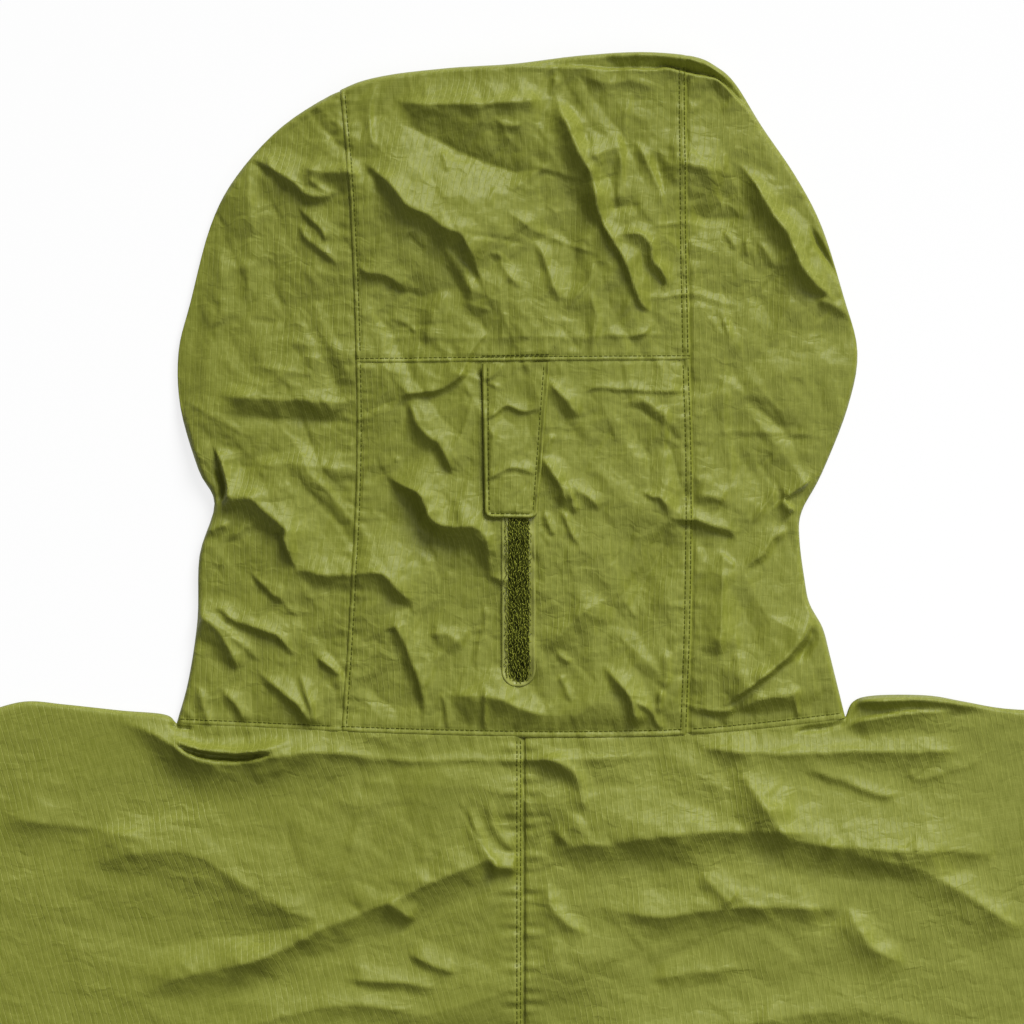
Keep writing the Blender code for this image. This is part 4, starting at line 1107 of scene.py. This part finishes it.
def small_loops(name, places, heights, seed):
    """Tiny standing loops of yarn, which lie along the tape and lean a little, joined in one mesh."""
    draw = np.random.default_rng(seed)
    count = len(places)
    heading = math.pi / 2 + draw.normal(0, 0.4, count)
    tilt = draw.normal(0, 0.45, count)
    size = LOOP_RADIUS * draw.uniform(0.75, 1.3, count)
    yarn = LOOP_RADIUS * LOOP_YARN
    points = []
    for bend in np.linspace(-0.15, math.pi + 0.15, LOOP_RINGS):
        for turn in np.linspace(0, 2 * math.pi, LOOP_SIDES, endpoint=False):
            out = size * math.cos(bend) + yarn * math.cos(turn) * math.cos(bend)
            tall = size * math.sin(bend) + yarn * math.cos(turn) * math.sin(bend)
            side = yarn * math.sin(turn) + tall * np.sin(tilt)
            points.append(np.column_stack([
                places[:, 0] + out * np.cos(heading) - side * np.sin(heading),
                places[:, 1] + out * np.sin(heading) + side * np.cos(heading),
                heights + tall * np.cos(tilt)]))
    points = np.stack(points, axis=1)
    each = LOOP_RINGS * LOOP_SIDES
    faces = np.array(tube_faces(LOOP_RINGS, LOOP_SIDES)) + each * np.arange(count)[:, None, None]
    flat = points.reshape(-1, 3)
    dress(sewn(name, flat, faces.reshape(-1, 4), flat), pile_yarn, "loop")


LOOP_ROW, LOOP_COLUMN, LOOP_STRAY = 1.5, 1.3, 0.16
draw = np.random.default_rng(77)
tuft_places = []
for row, up in enumerate(np.arange(LOOP_END + 2.2, LOOP_TOP - 1, LOOP_ROW)):
    depth = max(round_end - up, 0)
    half = math.sqrt(max((LOOP_WIDTH / 2 - RIM_WIDTH) ** 2 - depth ** 2, 0.04))
    for across in np.arange(-half + LOOP_COLUMN / 2 * (row % 2), half, LOOP_COLUMN):
        stray_across, stray_up = draw.normal(0, LOOP_STRAY), draw.normal(0, LOOP_STRAY)
        tuft_places.append((LOOP_MIDDLE + across + stray_across, up + stray_up))
tuft_places = np.array(tuft_places)
small_loops("loop_tape_pile", tuft_places, nape_lying(tuft_places) + LOOP_TAPE_LIFT - 0.05, 78)

hook_plan = np.array([[(LOOP_MIDDLE - 2 + side * HOOK_WIDTH / 2, up) for side in np.linspace(-1, 1, 9)]
                      for up in np.linspace(*HOOK_SPAN, 16)])
hook_flat = hook_plan.reshape(-1, 2)
hook_tape = cloth("tab_hook_base", raised(hook_plan, tab_height(hook_flat) - TAB_THICKNESS / 2 - 0.25))
dress(hook_tape, pile, "loop", "tab_hook", flat=(0.014, 0.030), held="laid", rests_on=["hood_tab_cloth"])


# ------------------------------------------------------------------------------------------
# The back. Two panels of the same nylon that meet in a double-stitched centre seam, sewn to the
# hood along the neck. It wraps over the shoulders and sides on to the front, and lies in long
# soft folds that run down from the neck and shoulders.

SHOULDER = {
    "left": ((-172, 6), (-178, 10.5), (-200, 12.5), (-228, 15.5), (-248, 17), (-268, 12)),
    "right": ((163, 9), (167, 17), (178, 20), (204, 20), (222, 17), (242, 13.5), (268, 12)),
}
ARMHOLE = ((268, 12), (260, -70), (264, -150), (280, -212), (300, -245))
SIDE = ((300, -245), (298, -420), (304, -720))
SLEEVE_TOP = ((268, 12), (308, -6), (360, -50), (450, -162), (560, -312), (660, -465))
SLEEVE_UNDER = ((300, -245), (334, -282), (404, -362), (484, -452), (564, -545))
BODY_LENGTH = 720.0
HEM_TURN = 20.0
SIDES = ((-1, "left"), (1, "right"))


body_lines = []            # where the upper sheet folds into the lower one
for side_name, flip in (("left", mirrored), ("right", tuple)):
    body_lines.append(np.vstack([spline(SHOULDER[side_name]), spline(flip(SLEEVE_TOP))]))
    body_lines.append(np.vstack([spline(flip(SLEEVE_UNDER))[::-1], spline(flip(SIDE))]))
SEEN_SHARE = 0.775         # of the way up the back, where its mesh gets finer
CENTRE_EDGE = 1.2          # the left back laps over the right one up to here
centre_line = np.array([(CENTRE_EDGE, -BODY_LENGTH), (CENTRE_EDGE, 0.0)])
back_rows = [centre_line + (-gap, 0) - [(0, 0), (0, 1.0)] for gap in (0.9, 2.7)]


def back_height(places):
    height = upper_sheet(places, body_lines, back_creases, back_crumple)
    height += near_neck(places) * (seam_pucker(places, centre_line, 61, 12.0, 0.8, 0.9)
                                   + seam_pucker(places, neck_line, NECK_SEED))
    return height + row_grooves(places, back_rows)


def back_panel(name, sign, side_name):
    """A back, whose edges are tucked under the neck seam and the armhole, wrapped on to the front
    at the shoulder and the side, and turned up at the hem."""
    flip = mirrored if sign < 0 else tuple
    shoulder = spline(SHOULDER[side_name])
    armhole, side = spline(flip(ARMHOLE)), spline(flip(SIDE))
    neck = neck_line[::-1] if sign < 0 else neck_line
    neck = neck[sign * neck[:, 0] >= 0]
    inner_edge = CENTRE_EDGE if sign < 0 else CENTRE_EDGE - UNDERLAP
    neck[0] = (inner_edge, 0)
    top = np.vstack([neck, shoulder[1:-1], armhole[:1]])
    outer = np.vstack([side[::-1], armhole[::-1][1:]])
    inner = np.array([(inner_edge, -BODY_LENGTH), neck[0]])
    hem = np.array([inner[0], outer[0]])
    ups = np.concatenate([np.linspace(0, SEEN_SHARE, 84), np.linspace(SEEN_SHARE, 1, 150)[1:]])
    length = line_length(top)
    across = np.append(fold_shares(length, 1.25), np.array([0.4, 0.9, 3.3, 4.2, 4.6]) / length)
    plan = patch(hem, top, inner, outer, np.sort(across), ups)
    flat = plan.reshape(-1, 2)
    height = back_height(flat)
    if sign < 0:
        height += LAP * np.sqrt(np.clip((CENTRE_EDGE - flat[:, 0]) / 0.9, 0, 1)) + 0.05
    else:
        height -= 0.8 * ridge(flat[:, 0] - CENTRE_EDGE, 0.9, 0.6)
    rows = raised(plan, height)
    neck_share = smooth_step((sign * rows[-1, :, 0] - abs(shoulder[0][0]) + 4) / 4)[:, None]
    above, beyond = [], []
    for step, drop in ((1.0, 0.5), (3.0, 0.9)):
        tucked = rows[-1] + (0, step, -drop)
        wrapped = rows[-1] - (0, step * 2, 0)
        wrapped[:, 2] = lower_sheet(wrapped[:, :2], body_lines, ())
        above.append(tucked * (1 - neck_share) + wrapped * neck_share)
    rows = np.concatenate([rows, np.array(above)], axis=0)
    armhole_rows = smooth_step((rows[:, -1, 1] + 250) / 10)[:, None]
    for step in (2.0, 5.0):
        wrapped = rows[:, -1 - len(beyond)] - (sign * step, 0, 0)
        wrapped[:, 2] = lower_sheet(wrapped[:, :2], body_lines, ())
        tucked = rows[:, -1 - len(beyond)] + (sign * step / 2, 0, -0.5)
        beyond.append(wrapped * (1 - armhole_rows) + tucked * armhole_rows)
        rows = np.concatenate([rows, beyond[-1][:, None]], axis=1)
    turned = [rows[0] + (0, 0.0, -0.5), rows[0] + (0, 1.5, -0.9), rows[0] + (0, HEM_TURN, -1.0)]
    rows = np.concatenate([np.array(turned)[::-1], rows], axis=0)
    rows[:, :, 2] = np.maximum(rows[:, :, 2], 0.2)
    return cloth(name, rows, grain=math.radians(16 if sign < 0 else 11))


for sign, side_name in SIDES:
    node = f"back_{side_name}"
    dress(back_panel(node + "_cloth", sign, side_name), shell_cloth, "shell", node, flat=(0.32, 0.78),
          held="laid", rests_on=["front_left", "front_right"], area=0.215)

runs = [laid_on(row, back_height, STITCH_PROUD + LAP) for row in back_rows]
HEM_ROW = -BODY_LENGTH + HEM_TURN - 2
hem_line = np.array([(-300.0, HEM_ROW), (300.0, HEM_ROW)])
stitched("back_topstitching", runs + [laid_on(hem_line, back_height)])


# ------------------------------------------------------------------------------------------
# The fronts, which face the table. Two panels of shell nylon, sewn to the hood's sides at the
# neck and to the back at the shoulders and sides, with their centre edges turned in at the zip.

FRONT_CRUMPLE = ((40, 0.9, 0.4, 1.5), (16, 0.5, 2.6, 1.4))
FACING = 22.0


def front_height(places):
    """Height of the fronts and of the sleeves' lower halves, which lie close to the table."""
    flutter = crumple(places, FRONT_CRUMPLE, 700)
    near = edge_distance(places, body_lines, 24.0) / 24.0
    return lower_sheet(places, body_lines, ()) + np.clip(flutter + 0.6, 0, 1.6) * near


def front_panel(name, sign, side_name):
    """A front, with its facing turned in at the zip and its hem turned up."""
    flip = mirrored if sign < 0 else tuple
    shoulder = spline(SHOULDER[side_name]) - (0, 4.0)
    armhole, side = spline(flip(ARMHOLE)), spline(flip(SIDE)) - (sign * 3.5, 0)
    neck = spline(flip(FRONT_NECK) + (SHOULDER[side_name][0],)) - (0, 0.5)
    neck[0] = (sign * CENTRE_GAP, neck[0][1])
    top = np.vstack([neck[:-1], shoulder[1:]])
    armhole[0] = top[-1]
    outer = np.vstack([side[::-1], armhole[::-1][1:]])
    inner = np.array([(sign * CENTRE_GAP, -BODY_LENGTH), neck[0]])
    hem = np.array([inner[0], outer[0]])
    plan = patch(hem, top, inner, outer, step_shares(line_length(top), 4.0), step_shares(650, 4.5))
    rows = raised(plan, front_height(plan.reshape(-1, 2)))
    facing = [rows[:, 0] + (sign * reach, 0, rise) for reach, rise in ((FACING, 0.9), (0.8, 0.8), (0.0, 0.4))]
    rows = np.concatenate([np.stack(facing, axis=1), rows], axis=1)
    turned = [rows[0] + (0, reach, rise) for reach, rise in ((HEM_TURN, 0.9), (0.8, 0.8), (0.0, 0.4))]
    tucked = [rows[-1] + (0, reach, rise) for reach, rise in ((0.4, 0.3), (2.4, 0.6))]
    return cloth(name, np.concatenate([np.stack(turned), rows, np.stack(tucked)], axis=0))


for sign, side_name in SIDES:
    node = f"front_{side_name}"
    dress(front_panel(node + "_cloth", sign, side_name), shell_cloth, "shell", node, flat=(0.33, 0.76),
          held="laid", rests_on=["zip_tape_left", "zip_tape_right"], area=0.215)

zip_row = CENTRE_GAP + 9
front_rows = [np.array([(sign * zip_row, -BODY_LENGTH + 4), (sign * zip_row, -84)]) for sign in (-1, 1)]
front_rows += [np.array([(sign * 300, HEM_ROW), (sign * 8, HEM_ROW)]) for sign in (-1, 1)]
stitched("front_topstitching", [laid_on(row, front_height, -STITCH_PROUD) for row in front_rows])


# ------------------------------------------------------------------------------------------
# The sleeves. Each is one panel of shell nylon closed under the arm, set into the armhole with
# its edge lapped over the back, and turned up and stitched at a plain cuff.

SLEEVE_CREASES = (
    (2.2, 30, 20, ((292, -40), (330, -70), (350, -120), (372, -170))),
    (1.8, 26, 22, ((300, -110), (345, -160), (400, -190), (440, -240))),
    (2.0, 24, 20, ((290, -200), (330, -225), (365, -270))),
    (1.8, 30, 18, ((430, -215), (480, -240), (520, -300))),
    (1.6, 26, 18, ((400, -300), (455, -330), (500, -400), (540, -430))),
    (1.5, 24, 18, ((530, -330), (570, -370), (610, -400))),
)
CUFF_TURN = 22.0


def sleeve_height(places):
    return upper_sheet(places, body_lines, sleeve_creases, back_crumple)


def sleeve_panel(name, sign):
    """A sleeve as a tube, with its cuff turned in, and the plan of its upper half."""
    flip = mirrored if sign < 0 else tuple
    armhole = spline(flip(ARMHOLE)) - (sign * 1.5, 0)
    top, under = spline(flip(SLEEVE_TOP)), spline(flip(SLEEVE_UNDER))
    armhole[0], armhole[-1] = top[0], under[0]
    cuff = np.vstack([top[-1:], under[-1:]])
    half = np.concatenate([[0, 0.003, 0.008, 0.014], np.linspace(0.02, 0.98, 62), [0.986, 0.992, 0.997, 1]])
    plan = patch(armhole, cuff, top, under, half, step_shares(620, 4.6))
    flat = plan.reshape(-1, 2)
    over_back = LAP * np.repeat(np.exp(-np.arange(plan.shape[0]) / 1.5), plan.shape[1])
    upper = raised(plan, sleeve_height(flat) + over_back)
    lower = raised(plan, front_height(flat))
    rows = np.concatenate([upper, lower[:, ::-1][:, 1:-1]], axis=1)
    heading = cuff.mean(axis=0) - armhole.mean(axis=0)
    heading /= np.linalg.norm(heading)
    middle = rows[-1].mean(axis=0)
    inside = [rows[-1] - (*(heading * reach), 0) + (middle - rows[-1]) * (0.004, 0.004, shrink)
              for reach, shrink in ((0.0, 0.14), (1.0, 0.26), (CUFF_TURN, 0.3))]
    return cloth(name, np.concatenate([rows, np.stack(inside)]), closed=True), plan


sleeve_creases = []
for rise, left, right, route in SLEEVE_CREASES:
    sleeve_creases += [(rise, left, right, route), (rise, right, left, mirrored(route))]
sleeve_rows = []
for sign, side_name in SIDES:
    node = f"sleeve_{side_name}"
    piece, plan = sleeve_panel(node + "_cloth", sign)
    dress(piece, shell_cloth, "shell", node, flat=(0.54, 0.64), held="laid", rests_on=[], area=0.24)
    sleeve_rows += [laid_on(plan[-6, 3:-3], sleeve_height), laid_on(plan[2, 2:-2], sleeve_height, LAP)]
stitched("sleeve_topstitching", sleeve_rows)


# ------------------------------------------------------------------------------------------
# The zip, on the side that faces the table. A coil of nylon monofilament sewn to two woven
# tapes, which are stitched under the front edges, with a metal slider and its pull at the chin.

TAPE_WIDTH, CHAIN_WIDTH = 13.0, 6.0
COIL_PITCH = 1.5
COIL_WIRE = 0.62
COIL_ACROSS, COIL_HALF_WIDTH, COIL_HALF_HEIGHT, COIL_LEAD = 1.25, 1.75, 1.0, 0.35
COIL_RINGS, COIL_SIDES = 9, 4
ZIP_LIFT = 1.7             # from a front to its tape
TAPE_OVER_COIL = 0.6
SLIDER_LENGTH = 12.0

TAPE_DARK, TAPE_PALE = (0.055, 0.062, 0.010, 1), (0.120, 0.130, 0.030, 1)
COIL_DARK, COIL_PALE = (0.050, 0.056, 0.010, 1), (0.085, 0.095, 0.020, 1)
METAL_DARK, METAL_PALE = (0.085, 0.085, 0.075, 1), (0.170, 0.165, 0.150, 1)

woven = Finish("zip_tape", 0.82)
woven_cut = woven.cut()
rib = stripes(woven.axis(woven_cut, 0), 0.0009, 0.00045)
pick = stripes(woven.axis(woven_cut, 1), 0.0007, 0.00035)
woven.feed("Base Color", woven.mixed(rib.math("MAXIMUM", pick * 0.6), TAPE_DARK, TAPE_PALE))
woven.bump(rib + pick * 0.6, 0.00015)

coil = Finish("zip_coil", 0.35)
drawn = coil.noise(coil.cut(), 300.0, 2.0)
coil.feed("Base Color", coil.mixed(drawn, COIL_DARK, COIL_PALE))
coil.feed("Roughness", 0.28 + drawn * 0.2)


def zip_height(ups):
    """Height of the tapes beside the chain."""
    edge = np.column_stack([np.full(len(ups), CENTRE_GAP), ups])
    return lower_sheet(edge, [], ()) + ZIP_LIFT


for sign, side_name in SIDES:
    node = f"zip_tape_{side_name}"
    ups = np.linspace(-BODY_LENGTH + 3, CHIN_TOP + 4, 300)
    plan = np.array([[(sign * across, up) for across in np.linspace(1.0, CHAIN_WIDTH / 2 + TAPE_WIDTH, 11)]
                     for up in ups])
    height = lower_sheet(plan.reshape(-1, 2), [], ()) + ZIP_LIFT + TAPE_OVER_COIL
    dress(cloth(node + "_cloth", raised(plan, height)), woven, "zip_tape", node,
          flat=(0.015, 0.733), held="laid", rests_on=["front_left", "front_right"])

ups = np.arange(-BODY_LENGTH + 3, -SLIDER_LENGTH / 2, COIL_PITCH)
turns = np.linspace(0, 2 * math.pi, COIL_RINGS, endpoint=False)
wires = np.linspace(0, 2 * math.pi, COIL_SIDES, endpoint=False)
outward = np.stack([np.cos(turns), np.zeros(COIL_RINGS), np.sin(turns)], axis=1)
lead = COIL_LEAD * np.sin(turns * 0.5)
tall = COIL_HALF_HEIGHT * np.sin(turns)
points = []
for sign in (-1, 1):
    across = sign * COIL_ACROSS + COIL_HALF_WIDTH * np.cos(turns)
    for up, height in zip(ups + (COIL_PITCH / 2 if sign > 0 else 0), zip_height(ups)):
        middle = np.stack([across, up + lead, height - TAPE_OVER_COIL + tall], axis=1)
        loop = [middle + COIL_WIRE / 2 * (math.cos(wire) * outward + math.sin(wire) * np.array([0, 1.0, 0]))
                for wire in wires]
        points.append(np.stack(loop, axis=1).reshape(-1, 3))
ring, side = np.divmod(np.arange(COIL_RINGS * COIL_SIDES), COIL_SIDES)
next_ring, next_side = (ring + 1) % COIL_RINGS * COIL_SIDES, (side + 1) % COIL_SIDES
ring = ring * COIL_SIDES
faces = np.stack([ring + side, next_ring + side, next_ring + next_side, ring + next_side], axis=1)
faces = faces + COIL_RINGS * COIL_SIDES * np.arange(len(points))[:, None, None]
flat = np.vstack(points)
dress(sewn("zip_coil_chain", flat, faces.reshape(-1, 4), flat), coil, "zip_coil", "zip_chain")

metal = Finish("zip_metal", 0.34, metallic=0.9)
worn = metal.noise(metal.node("ShaderNodeTexCoord", output=3), 260.0, 4.0)
metal.feed("Base Color", metal.mixed(worn, METAL_DARK, METAL_PALE))
metal.feed("Roughness", 0.26 + worn * 0.22)
metal.bump(worn, 0.00006)
for node in ("zip_slider", "zip_pull"):
    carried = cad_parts[node]
    carried.data.materials.clear()
    carried.data.materials.append(metal.material)


# ------------------------------------------------------------------------------------------
# The table, lamps and camera. A plain white table top carries the garment. A broad key lamp comes
# in low from beyond the hood, with a small fill over it, and the camera looks straight down.

FLOOR_HALF = 8.0
table_mesh = bpy.data.meshes.new("table")
table_mesh.from_pydata([(x * FLOOR_HALF, y * FLOOR_HALF, 0) for x, y in ((-1, -1), (1, -1), (1, 1), (-1, 1))],
                       [], [(0, 1, 2, 3)])
table = bpy.data.objects.new("table", table_mesh)
bpy.context.scene.collection.objects.link(table)
table_top = Finish("table_top", 0.9)
table_top.shader.inputs["Base Color"].default_value = (0.9, 0.9, 0.9, 1)
seen = table_top.node("ShaderNodeLightPath", output=0)
glossy = table_top.node("ShaderNodeLightPath", output=3)
white = table_top.node("ShaderNodeEmission", Color=(1, 1, 1, 1), Strength=1.0)
plain = Socket(table_top.tree, table_top.shader.outputs[0])
share = seen.math("MAXIMUM", glossy) * 0.8
top = table_top.node("ShaderNodeMixShader", _0=share, _1=plain, _2=white)
table_top.tree.links.new(top.link, table_top.tree.nodes["Material Output"].inputs["Surface"])
table.data.materials.append(table_top.material)

world = bpy.data.worlds.new("room")
bpy.context.scene.world = world
world.use_nodes = True
world.node_tree.nodes["Background"].inputs[0].default_value = (1, 1, 1, 1)
world.node_tree.nodes["Background"].inputs[1].default_value = 0.15

AIM = Vector((-0.004, 0.3005, 0.0))


def set_up(name, data, place, facing=None):
    made = bpy.data.objects.new(name, data)
    made.location = place
    if facing:
        made.rotation_euler = Vector(facing).to_track_quat("-Z", "Y").to_euler()
    bpy.context.scene.collection.objects.link(made)
    return made


KEY_HEADING = (-0.62, -1.20, -0.90)
KEY_STRENGTH, KEY_SPREAD = 4.25, math.radians(28)
key = bpy.data.lights.new("key", "SUN")
key.energy, key.angle = KEY_STRENGTH, KEY_SPREAD
set_up("key", key, (0, 0, 0), KEY_HEADING)

FILL_PLACE = Vector((0.45, -0.25, 1.0))
FILL_SIZE, FILL_WATTS = 0.8, 3.0
fill = bpy.data.lights.new("fill", "AREA")
fill.shape, fill.size, fill.energy = "SQUARE", FILL_SIZE, FILL_WATTS
set_up("fill", fill, AIM + FILL_PLACE, -FILL_PLACE)

LENS, SENSOR, FRAME_WIDTH = 150.0, 36.0, 0.512
CLOTH_LEVEL = 0.007        # the height at which the frame has that width
lens = bpy.data.cameras.new("camera")
lens.lens, lens.sensor_width = LENS, SENSOR
camera = set_up("camera", lens, AIM + Vector((0, 0, FRAME_WIDTH * LENS / SENSOR + CLOTH_LEVEL)))
bpy.context.scene.camera = camera
bpy.context.scene.view_settings.view_transform = "Standard"
